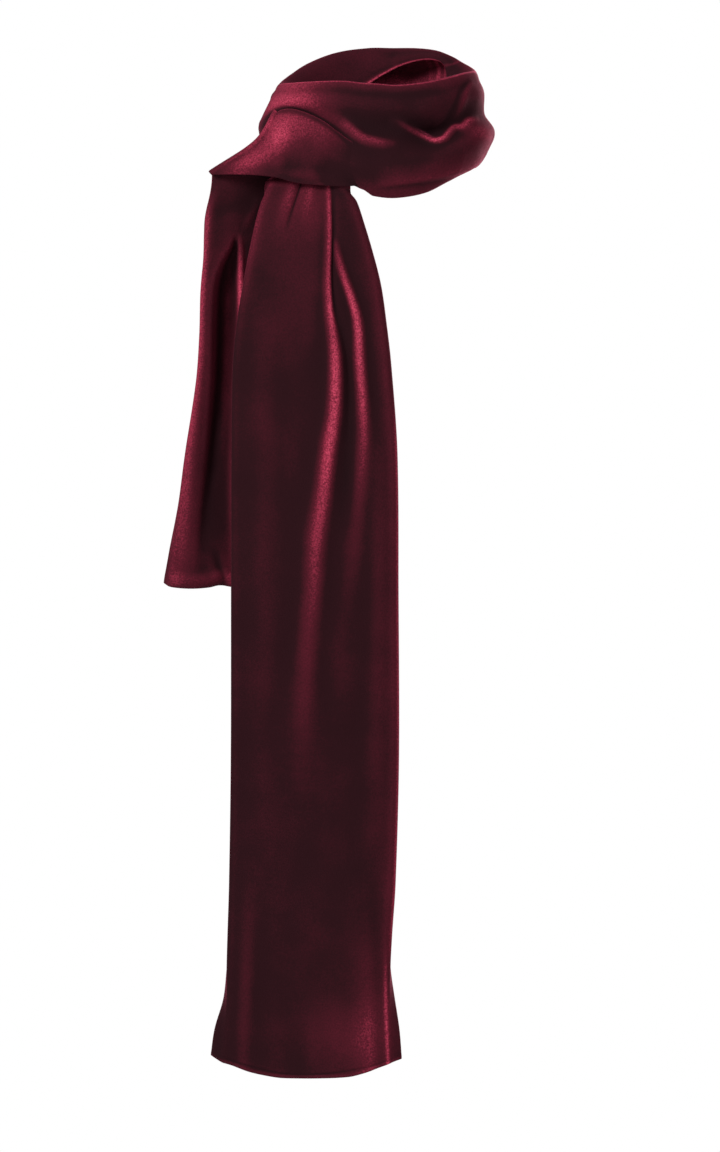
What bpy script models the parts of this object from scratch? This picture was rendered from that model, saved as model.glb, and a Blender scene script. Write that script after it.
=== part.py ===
# Velvet scarf in its worn pose, wound round an open neck hole.
#
# One long doubled-velvet scarf goes up from its long front tail, round the neck hole and across
# the front again. There it laps over the top of the long tail, folds back on itself along a slanting
# crease at the side and hangs down behind as the short tail.
#
# Metres, +Z up, the front faces -Y and +X is at the right, seen from the front.
# The origin is in the middle of the loop, where the scarf is held up.

import math

import bmesh
import bpy
from mathutils import Vector

MM = 0.001

# The scarf's cloth.
CLOTH_THICKNESS = 2.4 * MM       # two layers of velvet, back to back
SEAM_GAP = 0.3 * MM              # left between two stretches that lie on or meet each other
VELVET_COLOUR = (0.105, 0.008, 0.020, 1.0)
VELVET_ROUGHNESS = 0.75

# The loop round the neck, seen from above: an oval with its middle at LOOP_X, LOOP_Y.
LOOP_X = -1.0
LOOP_Y = -4.0
LOOP_HALF_WIDTH = 109.0
LOOP_HALF_DEPTH = 100.0
LOOP_SPLIT_RIGHT = 95.0          # degrees, where the front stretch ends and the nape stretch starts
LOOP_SPLIT_LEFT = 256.0
LOOP_SEAM_ROOM = 1.5             # the folds cross that seam at a slant, so it is this much wider

# Sections through the loop, by the angle from its front towards +X, in degrees. Heights and
# distances are in millimetres. The words ending in _in say how far inside the oval a place lies.
#   rim      the top of the roll            groove  the hollow between the two rolls of cloth
#   belly    the widest place of the lower roll     base    the lowest place of the outer cloth
#   tuck     how far the cloth turns in under the base
#   lip      where the cloth that rolls over the rim ends, inside the loop
LOOP_COLUMNS = ("angle", "rim", "rim_in", "shoulder_in", "groove", "groove_in",
                "belly", "base", "base_in", "tuck", "lip")
LOOP_SECTIONS = (
    (0, 22, 10, 3, -17, 8, -48, -78, 12, 14, -12),
    (12, 21, 10, 3, -18, 10, -49, -79, 12, 14, -12),
    (29, 25, 11, 4, -22, 15, -45, -74, 13, 14, -8),
    (45, 31, 12, 5, -14, 12, -34, -63, 15, 14, -2),
    (60, 37, 15, 7, -2, 10, -24, -54, 18, 14, 4),
    (75, 41, 17, 9, 3, 10, -15, -47, 19, 13, 10),
    (90, 44, 18, 10, 5, 10, -11, -44, 19, 12, 14),
    (105, 50, 17, 9, 10, 8, -8, -40, 17, 12, 22),
    (118, 57, 16, 8, 16, 6, 0, -32, 15, 12, 40),
    (128, 64, 15, 7, 22, 5, 6, -26, 14, 12, 57),
    (140, 71, 14, 6, 28, 5, 12, -18, 13, 12, 63),
    (155, 75, 13, 6, 32, 5, 16, -12, 12, 12, 61),
    (170, 76, 13, 6, 34, 5, 18, -8, 12, 12, 53),
    (185, 76, 13, 6, 34, 5, 18, -7, 12, 12, 42),
    (205, 71, 13, 6, 30, 5, 13, -10, 12, 12, 22),
    (225, 59, 14, 6, 20, 5, 4, -20, 12, 12, 10),
    (245, 44, 15, 6, 10, 5, -4, -32, 12, 11, 2),
    (262, 34, 16, 6, 4, 4, -8, -40, 12, 9, -1),
    (275, 31, 16, 5, 1, 3, -8, -43, 11, 6, -3),
    (290, 29, 15, 5, -2, 3, -14, -47, 8, 3, -5),
    (305, 27, 13, 4, -6, 4, -24, -49, 5, 0, -8),
    (320, 26, 11, 3, -10, 5, -30, -50, 4, 0, -10),
    (341, 25, 10, 3, -14, 6, -36, -54, 4, 0, -12),
    (351, 23, 10, 3, -16, 7, -46, -71, 8, 6, -12),
)

# The largest folds of the loop's outer face: soft ridges, or troughs where out is negative. Each runs
# from one place to another, given by angle and by the share of the section, from the lip (0), over
# the rim (0.3), the groove (0.6) and the belly (0.7), to the tuck (1).
LOOP_FOLD_COLUMNS = ("from_angle", "from_share", "to_angle", "to_share", "half_width", "out")
LOOP_FOLDS = (
    (80, 0.34, 30, 0.56, 7, 4.0),
    (70, 0.33, 22, 0.52, 7, -4.0),
    (98, 0.44, 44, 0.57, 6, 3.5),
    (-18, 0.62, 2, 0.66, 6, 3.0),
    (6, 0.58, 34, 0.65, 6, 4.0),
    (36, 0.61, 66, 0.61, 6, 3.5),
    (8, 0.86, 76, 0.82, 5, 2.0),
    (100, 0.66, 168, 0.52, 12, 4.0),
    (120, 0.42, 228, 0.56, 11, 4.0),
    (118, 0.50, 224, 0.66, 10, -4.0),
    (176, 0.76, 262, 0.66, 12, 4.5),
    (206, 0.36, 292, 0.50, 10, 3.5),
    (214, 0.46, 296, 0.60, 10, -3.0),
    (146, 0.28, 152, 0.90, 26, 4.0),
    (206, 0.28, 212, 0.90, 30, 5.0),
    (244, 0.30, 238, 0.90, 22, -3.0),
)
LOOP_ARC = 1.8                   # millimetres round the loop for each degree
LOOP_SECTION_LENGTH = 170.0      # along a section

# The points of a section between those of the table. The shares are of the way between two of them.
ROLL_WIDTH = 17.0                # from the rim's top to the cloth inside it
ROLL_LEAST = 7.0                 # the same where the lip is short
ROLL_DROP = 7.0                  # how far below the rim the roll is half way round
ROLL_SLOPE = 0.32                # the same as a share of the lip's height, where that is less
INNER_SHARE = 0.65               # from the roll to the lip, for the place half way down inside
INNER_BULGE = 1.0
UPPER_SHARE = 0.45               # from the rim to the shoulder
UNDER_SHARE = 0.62               # from the belly to the base
UNDER_IN = 0.3                   # the share of the base's distance inside the oval
FULL_TUCK = 12.0                 # a tuck narrower than this is only begun
BEGUN_TUCK_OUT = 2.0             # where it isn't begun, the base lies this much further out
BEGUN_TUCK_RISE = 9.0            # and this much higher
TUCK_SLOPE = 0.4                 # how fast the tuck rises inward

# The long tail, by height. left and right are where its front turns back into its margins,
# left_depth and right_depth are Y there, crown is how far its middle stands forward, and the two
# swings are how far the margins turn back, in degrees: 0 lies flat, 90 points straight back.
TAIL_COLUMNS = ("height", "left", "right", "left_depth", "right_depth", "crown",
                "left_swing", "right_swing")
TAIL_SECTIONS = (
    (-69, -91, -28, -74, -94, 4, 70, 80),
    (-84, -102, -20, -78, -94, 5, 100, 110),
    (-100, -108, -14, -80, -93, 6, 115, 120),
    (-130, -114, -5, -82, -92, 7, 125, 125),
    (-160, -118, 3, -83, -91, 8, 130, 130),
    (-195, -125, 7, -84, -90, 8, 130, 130),
    (-232, -132, 11, -85, -89, 8, 130, 130),
    (-312, -132, 16, -86, -88, 8, 130, 130),
    (-440, -132, 17, -87, -87, 7, 130, 130),
    (-590, -133, 18, -87, -87, 7, 125, 125),
    (-704, -134, 14, -87, -87, 6, 120, 120),
    (-750, -135, 11, -87, -87, 6, 110, 110),
    (-780, -136, 10, -87, -87, 5, 90, 90),
    (-810, -138, 10, -87, -87, 4, 70, 68),
    (-838, -141, 10, -87, -87, 4, 48, 50),
    (-881, -145, 9, -87, -87, 3, 38, 40),
)
TAIL_MARGIN = 17.0               # the width of each margin that turns back
TAIL_MARGIN_SHARE = 0.12         # the share of the sheet's columns in each margin
TAIL_TURN = 5.0                  # the radius of the turn between the front and a margin
TAIL_TOP_LEFT = 300.0            # degrees, where the tail's top meets the loop
TAIL_TOP_RIGHT = 340.0
TAIL_SEAM_ROOM = 2.8             # the loop's lower edge slants in, so the seam is this much wider
EDGE_ANGLE_STEP = 1.0            # how near the places lie that give the direction of the loop's edge
EDGE_SHARE_STEP = 0.03
TAIL_BLEND = 34.0                # the length over which the tail's top takes the loop's curve
HEM_CORNER = -862.0              # the height of the hem's corners
HEM_MIDDLE = -881.0              # and of its middle, which hangs lower
HEM_ROUNDNESS = 2.6

# The folds of the long tail, each a soft ridge (or a trough, where out is negative) that runs down
# from top to bottom and is bowed sideways at its middle.
FOLD_COLUMNS = ("top", "top_x", "bottom", "bottom_x", "bow", "half_width", "out")
TAIL_FOLDS = (
    (-50, -46, -330, -42, 3, 9, 7.0),
    (-270, -40, -660, -64, 4, 17, 5.0),
    (-60, -38, -300, -28, -4, 5, -5.0),
    (-90, -37, -420, -13, 5, 9, 5.5),
    (-50, -64, -160, -80, 0, 6, -5.0),
    (-50, -76, -200, -98, 0, 8, 4.5),
    (-740, -118, -870, -123, 0, 12, 3.0),
    (-700, -10, -870, -8, 0, 14, 3.5),
)

# The lap, from its right end on the loop to the slanting crease: each section has its top, middle
# and bottom place.
LAP_COLUMNS = ("step", "top_x", "top_y", "top_z", "middle_x", "middle_y", "middle_z",
               "bottom_x", "bottom_y", "bottom_z")
LAP_SECTIONS = (
    (0, -9, -104, -38, -12, -107, -54, -17, -104, -72),
    (1, -25, -103, -30, -29, -106, -50, -37, -103, -70),
    (2, -38, -100, -20, -46, -104, -44, -58, -99, -68),
    (3, -50, -96, -11, -61, -101, -39, -75, -95, -67),
    (4, -63, -90, -4, -76, -96, -34, -92, -90, -63),
    (5, -76, -81, 1, -91, -89, -31, -112, -84, -60),
    (6, -86, -72, 2, -103, -81, -31, -133, -79, -58),
    (7, -93, -66, 0, -114, -72, -29, -153, -73, -57),
)
LAP_CLEARANCE = 3.3              # between the middle of the lap's cloth and of the cloth that it lies on
LOOP_DEPTH_TRIES = 4
LOOP_DEPTH_REACH = 5.0           # how far above or below a place the loop's cloth counts as beside it
OUTSIDE_STEPS = 40
OUTSIDE_FROM = 0.35              # the share of a loop section where its outer face starts
CREASE_TURN = 3.6                # the radius of the cloth's turn round the crease
CREASE_SLANT = math.sqrt(0.5)    # the crease runs at 45 degrees, and this is its part along X and along Z
LAP_FLAT_SHARE = 0.78            # the share of the lap's columns before the crease

# The short tail, by height. left and right are its edges, with Y there. valley_x and valley_in are
# the place and the depth of its deep fold, and left_swing is how far its left margin turns back.
SHORT_COLUMNS = ("height", "left", "right", "left_depth", "right_depth",
                 "valley_x", "valley_in", "left_swing")
SHORT_SECTIONS = (
    (-66, -153, -100, -65, -49, -126, 0, 60),
    (-97, -156, -86, -64, -46, -129, 3, 75),
    (-135, -157, -76, -63, -44, -137, 13, 90),
    (-167, -160, -71, -63, -43, -139, 18, 100),
    (-204, -162, -68, -62, -42, -140, 19, 105),
    (-245, -164, -66, -61, -42, -141, 17, 105),
    (-311, -175, -63, -60, -42, -146, 12, 95),
    (-360, -182, -61, -59, -42, -151, 8, 85),
    (-400, -189, -60, -58, -42, -155, 5, 70),
    (-433, -193, -60, -57, -42, -158, 2, 50),
)
SHORT_VALLEY_HALF_WIDTH = 11.0
SHORT_VALLEY_STEEPNESS = 4       # a higher one has steeper walls and a flatter floor
SHORT_RIGHT_SWING = 20.0         # how far its right margin turns back, in degrees
SHORT_MARGIN = 12.0
SHORT_MARGIN_SHARE = 0.12
SHORT_TURN = 4.0
SHORT_BLEND = 44.0               # the length over which its top takes the slant of the crease
SHORT_CORNER = 0.62              # the share of the crease, from its foot, that the short tail hangs from
SHORT_BOTTOM = -433.0
SHORT_SEAM_ROOM = 1.6            # the two edges slant a little to each other, so the seam is this much wider
SHORT_FOLDS = (
    (-112, -124, -260, -124, 1, 5, 5.0),
    (-150, -100, -430, -96, 2, 12, 4.0),
    (-240, -166, -430, -176, 0, 8, 3.5),
)

FOLD_FADE = 0.6                  # how suddenly every fold starts and ends

# How finely each stretch is divided: along its length, and across it.
LOOP_FRONT_STEPS = (40, 17)
LOOP_BACK_STEPS = (30, 17)
TAIL_STEPS = (44, 30)
LAP_STEPS = (20, 8)
SHORT_STEPS = (22, 22)


class Table:
    # Rows of numbers under named columns, read at any place along the first column by a smooth
    # curve. A table with a period closes on itself.

    def __init__(self, columns, rows, period=None):
        if period:
            before = tuple((row[0] - period,) + row[1:] for row in rows[-2:])
            after = tuple((row[0] + period,) + row[1:] for row in rows[:2])
            rows = before + rows + after
        self.period = period
        self.places = [row[0] for row in rows]
        self.values = {name: [row[i] for row in rows] for i, name in enumerate(columns)}

    def read(self, name, place):
        if self.period:
            place = place % self.period
        return smooth_value(self.places, self.values[name], place)


def smooth_value(places, values, place):
    # A cubic through the values, with its slope at each from the neighbours on both sides.
    rising = places[-1] > places[0]
    sign = 1.0 if rising else -1.0
    last = len(places) - 1
    if sign * (place - places[0]) <= 0.0:
        return values[0]
    if sign * (place - places[last]) >= 0.0:
        return values[last]
    i = max(k for k in range(last) if sign * (place - places[k]) >= 0.0)
    step = places[i + 1] - places[i]
    share = (place - places[i]) / step

    def slope(k):
        low = max(k - 1, 0)
        high = min(k + 1, last)
        return (values[high] - values[low]) / (places[high] - places[low])

    start = values[i]
    end = values[i + 1]
    square = share * share
    cube = square * share
    return ((2 * cube - 3 * square + 1) * start + (cube - 2 * square + share) * step * slope(i)
            + (3 * square - 2 * cube) * end + (cube - square) * step * slope(i + 1))


def smooth_step(share):
    share = min(max(share, 0.0), 1.0)
    return share * share * (3 - 2 * share)


def mix(start, end, share):
    return tuple(a + (b - a) * share for a, b in zip(start, end))


def along_points(points, share):
    # A place on the smooth curve through the points, share 0 to 1 by their number.
    numbers = list(range(len(points)))
    place = share * (len(points) - 1)
    return tuple(smooth_value(numbers, [point[k] for point in points], place)
                 for k in range(len(points[0])))


def named_rows(columns, rows):
    return [dict(zip(columns, row)) for row in rows]


def fold_shape(share, off):
    # A fold's height for an out of 1: it fades at both ends and to both sides.
    if not 0.0 < share < 1.0:
        return 0.0
    return math.sin(math.pi * share) ** FOLD_FADE * math.exp(-(off ** 2))


def fold_height(folds, x, z):
    # The sum of the folds at a place on a hanging stretch.
    total = 0.0
    for fold in folds:
        share = (fold["top"] - z) / (fold["top"] - fold["bottom"])
        bow = fold["bow"] * math.sin(math.pi * share)
        middle = fold["top_x"] + (fold["bottom_x"] - fold["top_x"]) * share + bow
        total += fold["out"] * fold_shape(share, (x - middle) / fold["half_width"])
    return total


LOOP = Table(LOOP_COLUMNS, LOOP_SECTIONS, period=360.0)
TAIL = Table(TAIL_COLUMNS, TAIL_SECTIONS)
LAP = Table(LAP_COLUMNS, LAP_SECTIONS)
SHORT = Table(SHORT_COLUMNS, SHORT_SECTIONS)
LOOP_FOLD_ROWS = named_rows(LOOP_FOLD_COLUMNS, LOOP_FOLDS)
TAIL_FOLD_ROWS = named_rows(FOLD_COLUMNS, TAIL_FOLDS)
SHORT_FOLD_ROWS = named_rows(FOLD_COLUMNS, SHORT_FOLDS)


def oval_radius(angle):
    turn = math.radians(angle)
    wide = math.sin(turn) / LOOP_HALF_WIDTH
    deep = math.cos(turn) / LOOP_HALF_DEPTH
    return 1.0 / math.sqrt(wide * wide + deep * deep)


def loop_section(angle):
    # The section's points from the lip inside, over the rim and down the outside to the tuck,
    # each as (distance inside the oval, height).
    row = {name: LOOP.read(name, angle) for name in LOOP_COLUMNS[1:]}
    rim, rim_in, lip = row["rim"], row["rim_in"], row["lip"]
    flap = rim - lip
    lip_in = rim_in + min(ROLL_WIDTH, ROLL_LEAST + 0.5 * flap)
    roll = (0.5 * (rim_in + lip_in), rim - min(ROLL_DROP, ROLL_SLOPE * flap))
    inner_in = roll[0] + (lip_in - roll[0]) * INNER_SHARE + INNER_BULGE
    inner = (inner_in, 0.5 * (roll[1] + lip))
    shoulder = (row["shoulder_in"], 0.5 * (rim + row["groove"]))
    upper = (0.5 * (rim_in + row["shoulder_in"]), rim + (shoulder[1] - rim) * UPPER_SHARE)
    straight = 1.0 - min(1.0, row["tuck"] / FULL_TUCK)
    base_in = row["base_in"] - BEGUN_TUCK_OUT * straight
    base = (base_in, row["base"] + BEGUN_TUCK_RISE * straight)
    under = (UNDER_IN * base_in, row["belly"] + (base[1] - row["belly"]) * UNDER_SHARE)
    end = (row["base_in"] + row["tuck"], row["base"] + TUCK_SLOPE * row["tuck"])
    return [(lip_in, lip), inner, roll, (rim_in, rim), upper, shoulder,
            (row["groove_in"], row["groove"]), (0.0, row["belly"]), under, base, end]


def loop_fold_height(angle, share):
    total = 0.0
    for fold in LOOP_FOLD_ROWS:
        run = (fold["to_angle"] - fold["from_angle"]) * LOOP_ARC
        rise = (fold["to_share"] - fold["from_share"]) * LOOP_SECTION_LENGTH
        length = math.hypot(run, rise)
        beside = ((angle - fold["from_angle"] + 180.0) % 360.0 - 180.0) * LOOP_ARC
        above = (share - fold["from_share"]) * LOOP_SECTION_LENGTH
        along = (beside * run + above * rise) / length ** 2
        off = (beside * rise - above * run) / length
        total += fold["out"] * fold_shape(along, off / fold["half_width"])
    return total


def loop_place(angle, share):
    # The distance inside the oval, and the height.
    inside, height = along_points(loop_section(angle), share)
    return inside - loop_fold_height(angle, share), height


def loop_point(angle, share):
    inside, height = loop_place(angle, share)
    reach = oval_radius(angle) - inside
    turn = math.radians(angle)
    return (LOOP_X + reach * math.sin(turn), LOOP_Y - reach * math.cos(turn), height)


def below_loop_edge(angle, distance):
    # A place off the loop's lower edge, straight out from it in the cloth's own plane.
    edge = Vector(loop_point(angle, 1.0))
    before = Vector(loop_point(angle - EDGE_ANGLE_STEP, 1.0))
    onward = Vector(loop_point(angle + EDGE_ANGLE_STEP, 1.0)) - before
    downward = edge - Vector(loop_point(angle, 1.0 - EDGE_SHARE_STEP))
    out = (downward - downward.project(onward)).normalized()
    return tuple(edge + out * distance)


def margin_section(left, right, swings, margin, turn_radius, margin_share, share):
    # A flat front with both margins turned back. Gives x, and how far back the place lies.
    left_swing, right_swing = swings

    def margin_place(swing, distance):
        # Outward and backward from where the turn starts, after a distance along the cloth.
        swing = math.radians(max(swing, 1.0))
        bend = turn_radius * swing
        angle = min(distance / turn_radius, swing)
        out = turn_radius * math.sin(angle)
        back = turn_radius * (1 - math.cos(angle))
        rest = max(distance - bend, 0.0)
        return out + rest * math.cos(swing), back + rest * math.sin(swing)

    inner_left = left + turn_radius
    inner_right = right - turn_radius
    if share < margin_share:
        out, back = margin_place(left_swing, margin * (1 - share / margin_share))
        return inner_left - out, back
    if share > 1 - margin_share:
        out, back = margin_place(right_swing, margin * (1 - (1 - share) / margin_share))
        return inner_right + out, back
    inner = (share - margin_share) / (1 - 2 * margin_share)
    return inner_left + (inner_right - inner_left) * inner, 0.0


def tail_point(across, down):
    # across runs from the left margin to the right one, down from the loop to the hem.
    from_middle = abs(2 * across - 1)
    hem = HEM_CORNER + (HEM_MIDDLE - HEM_CORNER) * (1 - from_middle ** HEM_ROUNDNESS)
    first = TAIL_SECTIONS[0][0]
    angle = TAIL_TOP_LEFT + (TAIL_TOP_RIGHT - TAIL_TOP_LEFT) * across
    top = below_loop_edge(angle, SEAM_GAP / MM * TAIL_SEAM_ROOM)
    height = top[2] + (hem - top[2]) * down
    row = {name: TAIL.read(name, min(height, first)) for name in TAIL_COLUMNS[1:]}
    x, back = margin_section(row["left"], row["right"], (row["left_swing"], row["right_swing"]),
                             TAIL_MARGIN, TAIL_TURN, TAIL_MARGIN_SHARE, across)
    slant = row["left_depth"] + (row["right_depth"] - row["left_depth"]) * across
    crown = row["crown"] * math.sin(math.pi * across)
    y = slant + back - crown - fold_height(TAIL_FOLD_ROWS, x, height)
    follow = smooth_step((top[2] - height) / TAIL_BLEND)
    return mix((top[0], top[1], height), (x, y, height), follow)


def loop_front_depth(x, z):
    # Y of the loop's outer face at a place on its front, or None where the loop has none.
    angle = math.degrees(math.asin(max(-0.999, min(0.999, (x - LOOP_X) / LOOP_HALF_WIDTH))))
    reach = 0.0
    for _ in range(LOOP_DEPTH_TRIES):
        outside = [loop_place(angle, OUTSIDE_FROM + (1 - OUTSIDE_FROM) * i / OUTSIDE_STEPS)
                   for i in range(OUTSIDE_STEPS + 1)]
        near = [inside for inside, height in outside if abs(height - z) < LOOP_DEPTH_REACH]
        if not near:
            return None
        reach = oval_radius(angle) - min(near)
        if abs(x - LOOP_X) >= reach:
            return None
        angle = math.degrees(math.asin((x - LOOP_X) / reach))
    return LOOP_Y - reach * math.cos(math.radians(angle))


def lap_edge(step, share):
    # A place on the lap's section, share 0 at its top edge and 1 at its bottom edge.
    row = [LAP.read(name, step) for name in LAP_COLUMNS[1:]]
    x, y, z = along_points((tuple(row[0:3]), tuple(row[3:6]), tuple(row[6:9])), share)
    under = loop_front_depth(x, z)
    if under is not None:
        y = min(y, under - LAP_CLEARANCE)
    return (x, y, z)


def lap_point(along, share):
    # along runs from the right end to the crease and round it to the back.
    last = LAP_SECTIONS[-1][0]
    if along <= LAP_FLAT_SHARE:
        return lap_edge(last * along / LAP_FLAT_SHARE, share)
    angle = math.pi * (along - LAP_FLAT_SHARE) / (1 - LAP_FLAT_SHARE)
    x, y, z = lap_edge(last, share)
    out = CREASE_TURN * math.sin(angle) * CREASE_SLANT
    back = CREASE_TURN * (1 - math.cos(angle))
    return (x - out, y + back, z + out)


def short_point(across, down):
    # across runs from the left edge to the right one, down from the crease to the closed end.
    along_crease = 1.0 - SHORT_CORNER * across
    x, y, z = lap_point(1.0, along_crease)
    seam = SEAM_GAP / MM * CREASE_SLANT * SHORT_SEAM_ROOM
    top = (x + seam, y, z - seam)
    height = top[2] + (SHORT_BOTTOM - top[2]) * down
    first = SHORT_SECTIONS[0][0]
    row = {name: SHORT.read(name, min(height, first)) for name in SHORT_COLUMNS[1:]}
    x, back = margin_section(row["left"], row["right"], (row["left_swing"], SHORT_RIGHT_SWING),
                             SHORT_MARGIN, SHORT_TURN, SHORT_MARGIN_SHARE, across)
    slant = row["left_depth"] + (row["right_depth"] - row["left_depth"]) * across
    beside = abs(x - row["valley_x"]) / SHORT_VALLEY_HALF_WIDTH
    valley = row["valley_in"] * math.exp(-(beside ** SHORT_VALLEY_STEEPNESS))
    y = slant + back + valley - fold_height(SHORT_FOLD_ROWS, x, height)
    follow = smooth_step((top[2] - height) / SHORT_BLEND)
    return mix((top[0], top[1], height), (x, y, height), follow)


def loop_front_point(along, share):
    start = LOOP_SPLIT_LEFT - 360.0
    return loop_point(start + (LOOP_SPLIT_RIGHT - start) * along, share)


def loop_back_point(along, share):
    gap = math.degrees(SEAM_GAP / MM / LOOP_HALF_DEPTH) * LOOP_SEAM_ROOM
    start = LOOP_SPLIT_RIGHT + gap
    end = LOOP_SPLIT_LEFT - gap
    return loop_point(start + (end - start) * along, share)


def velvet_material():
    material = bpy.data.materials.new("velvet")
    material.use_nodes = True
    shader = material.node_tree.nodes["Principled BSDF"]
    shader.inputs["Base Color"].default_value = VELVET_COLOUR
    shader.inputs["Roughness"].default_value = VELVET_ROUGHNESS
    shader.inputs["Metallic"].default_value = 0.0
    material.diffuse_color = VELVET_COLOUR
    return material


def cloth_stretch(name, place, steps, material, collection):
    # A grid laid over the stretch, then given the cloth's thickness.
    mesh = bpy.data.meshes.new(name)
    cage = bmesh.new()
    bmesh.ops.create_grid(cage, x_segments=steps[0], y_segments=steps[1], size=0.5)
    for vert in cage.verts:
        along = min(max(vert.co.x + 0.5, 0.0), 1.0)
        across = min(max(vert.co.y + 0.5, 0.0), 1.0)
        vert.co = [value * MM for value in place(along, across)]
    cage.to_mesh(mesh)
    cage.free()
    mesh.shade_smooth()
    mesh.materials.append(material)
    stretch = bpy.data.objects.new(name, mesh)
    collection.objects.link(stretch)
    wall = stretch.modifiers.new("cloth", 'SOLIDIFY')
    wall.thickness = CLOTH_THICKNESS
    wall.offset = 0.0
    return stretch


def clear_scene():
    for thing in list(bpy.data.objects):
        bpy.data.objects.remove(thing, do_unlink=True)


def build_scarf():
    clear_scene()
    collection = bpy.data.collections.new("velvet_scarf")
    bpy.context.scene.collection.children.link(collection)
    velvet = velvet_material()
    cloth_stretch("neck_front", loop_front_point, LOOP_FRONT_STEPS, velvet, collection)
    cloth_stretch("neck_back", loop_back_point, LOOP_BACK_STEPS, velvet, collection)
    cloth_stretch("front_tail", lambda down, across: tail_point(across, down),
                  TAIL_STEPS, velvet, collection)
    cloth_stretch("front_lap", lap_point, LAP_STEPS, velvet, collection)
    cloth_stretch("short_tail", lambda down, across: short_point(across, down),
                  SHORT_STEPS, velvet, collection)


build_scarf()
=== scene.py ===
import math

import bpy
import numpy as np
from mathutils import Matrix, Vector, bvhtree, noise


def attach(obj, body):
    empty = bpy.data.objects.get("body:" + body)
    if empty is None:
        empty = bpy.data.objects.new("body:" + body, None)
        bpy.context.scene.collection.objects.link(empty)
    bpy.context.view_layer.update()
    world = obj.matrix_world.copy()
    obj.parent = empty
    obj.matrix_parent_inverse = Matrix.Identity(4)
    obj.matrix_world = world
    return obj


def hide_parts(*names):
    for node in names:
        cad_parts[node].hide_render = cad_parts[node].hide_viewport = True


# Velvet scarf wound round an open neck hole. The cloth is laid as fine sheets over the same
# stretches as the solids. Sizes are in millimetres until a point is placed.

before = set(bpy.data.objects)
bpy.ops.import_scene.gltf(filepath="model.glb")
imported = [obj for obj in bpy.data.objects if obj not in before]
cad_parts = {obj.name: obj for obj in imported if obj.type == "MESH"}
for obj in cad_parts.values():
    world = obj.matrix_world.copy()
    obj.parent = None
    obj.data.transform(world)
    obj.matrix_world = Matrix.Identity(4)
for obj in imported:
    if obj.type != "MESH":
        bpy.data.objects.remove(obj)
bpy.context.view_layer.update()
print("frame loaded:", ", ".join(sorted(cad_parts)))

mm = 0.001
tiny = 1e-9
cloth = {
    "thickness": 2.4,      # two layers, back to back
    "swell": 1.5,          # how many times thicker it may get at a closed end
    "edgeSteps": (0.0, 0.35, 1.0, 2.2),          # where the points lie beside a free edge
    "edgeThickness": (0.42, 0.78, 0.95, 1.0),    # a folded edge is round
    "endReach": 24.0,      # the stretch above an end that is divided finely
    "endSteps": 24,
    "joinWithin": 0.02,    # points nearer to each other than this become one
    "chanceShift": (7.3, 3.1, 5.7),    # from one chance pattern to the next
    "chanceHeight": 1.6,
}
folding = {
    "linePoints": 20,      # on a fold's line, from one row to the next
    "reach": 2.6,          # how many half widths from its line a fold still counts
    "batch": 8000,         # points worked out at a time
}


# curves and tables

def throughPoints(places, values, at):
    # a smooth curve through the values, read at one place or many
    places = np.asarray(places, float)
    values = np.asarray(values, float)
    if places[0] > places[-1]:
        places, values = places[::-1], values[::-1]
    before = np.maximum(np.arange(len(places)) - 1, 0)
    after = np.minimum(np.arange(len(places)) + 1, len(places) - 1)
    extra = (1,) * (values.ndim - 1)
    slopes = (values[after] - values[before]) / (places[after] - places[before]).reshape(-1, *extra)
    at = np.clip(np.asarray(at, float), places[0], places[-1])
    i = np.clip(np.searchsorted(places, at, side="right") - 1, 0, len(places) - 2)
    step = (places[i + 1] - places[i]).reshape(*at.shape, *extra)
    t = (at - places[i]).reshape(*at.shape, *extra) / step
    return ((2 * t ** 3 - 3 * t ** 2 + 1) * values[i] + (t ** 3 - 2 * t ** 2 + t) * step * slopes[i]
            + (3 * t ** 2 - 2 * t ** 3) * values[i + 1] + (t ** 3 - t ** 2) * step * slopes[i + 1])


def readRows(columns, rows, at, period=None):
    rows = np.array(rows, float)
    if period:
        shift = np.zeros(rows.shape[1])
        shift[0] = period
        rows = np.concatenate([rows[-3:] - shift, rows, rows[:3] + shift])
        at = np.asarray(at, float) % period
    read = throughPoints(rows[:, 0], rows[:, 1:], at)
    return {name: read[..., k] for k, name in enumerate(columns[1:])}


def smoothStep(share):
    share = np.clip(share, 0.0, 1.0)
    return share * share * (3 - 2 * share)


def fade(values, start, length):
    # 0 up to the start and 1 past the length, which is negative where it runs downward
    return smoothStep((values - start) / length)


def bell(values, middle, reach):
    return np.exp(-((values - middle) / reach) ** 2)


def foldField(folds, x, z):
    # Folds drawn on the front of the cloth. A row is a place on the fold's line, the half width on
    # its left-hand side, the half width on its right-hand side, and how far it stands out.
    total = np.zeros(x.size)
    places = np.stack([x.ravel(), z.ravel()], 1)
    for rows in folds.values():
        rows = np.array(rows, float)
        at = np.linspace(0, len(rows) - 1, folding["linePoints"] * (len(rows) - 1) + 1)
        line = throughPoints(np.arange(len(rows)), rows, at)
        ahead = np.gradient(line[:, :2], axis=0)
        ahead /= np.linalg.norm(ahead, axis=1)[:, None]
        reach = folding["reach"] * rows[:, 2:4].max()
        low = line[:, :2].min(0) - reach
        high = line[:, :2].max(0) + reach
        near = np.nonzero(((places > low) & (places < high)).all(1))[0]
        for some in np.array_split(near, max(1, len(near) // folding["batch"])):
            apart = places[some][:, None, :] - line[None, :, :2]
            i = (apart ** 2).sum(2).argmin(1)
            off = apart[np.arange(len(some)), i]
            beside = off[:, 1] * ahead[i, 0] - off[:, 0] * ahead[i, 1]
            past = (off * ahead[i]).sum(1) * ((i == 0) | (i == len(line) - 1))     # beyond an end
            wide = np.where(beside > 0, line[i, 2], line[i, 3])
            total[some] += line[i, 4] * np.exp(-(beside / wide) ** 2 - (past / wide) ** 2)
    return total.reshape(x.shape)


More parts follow.
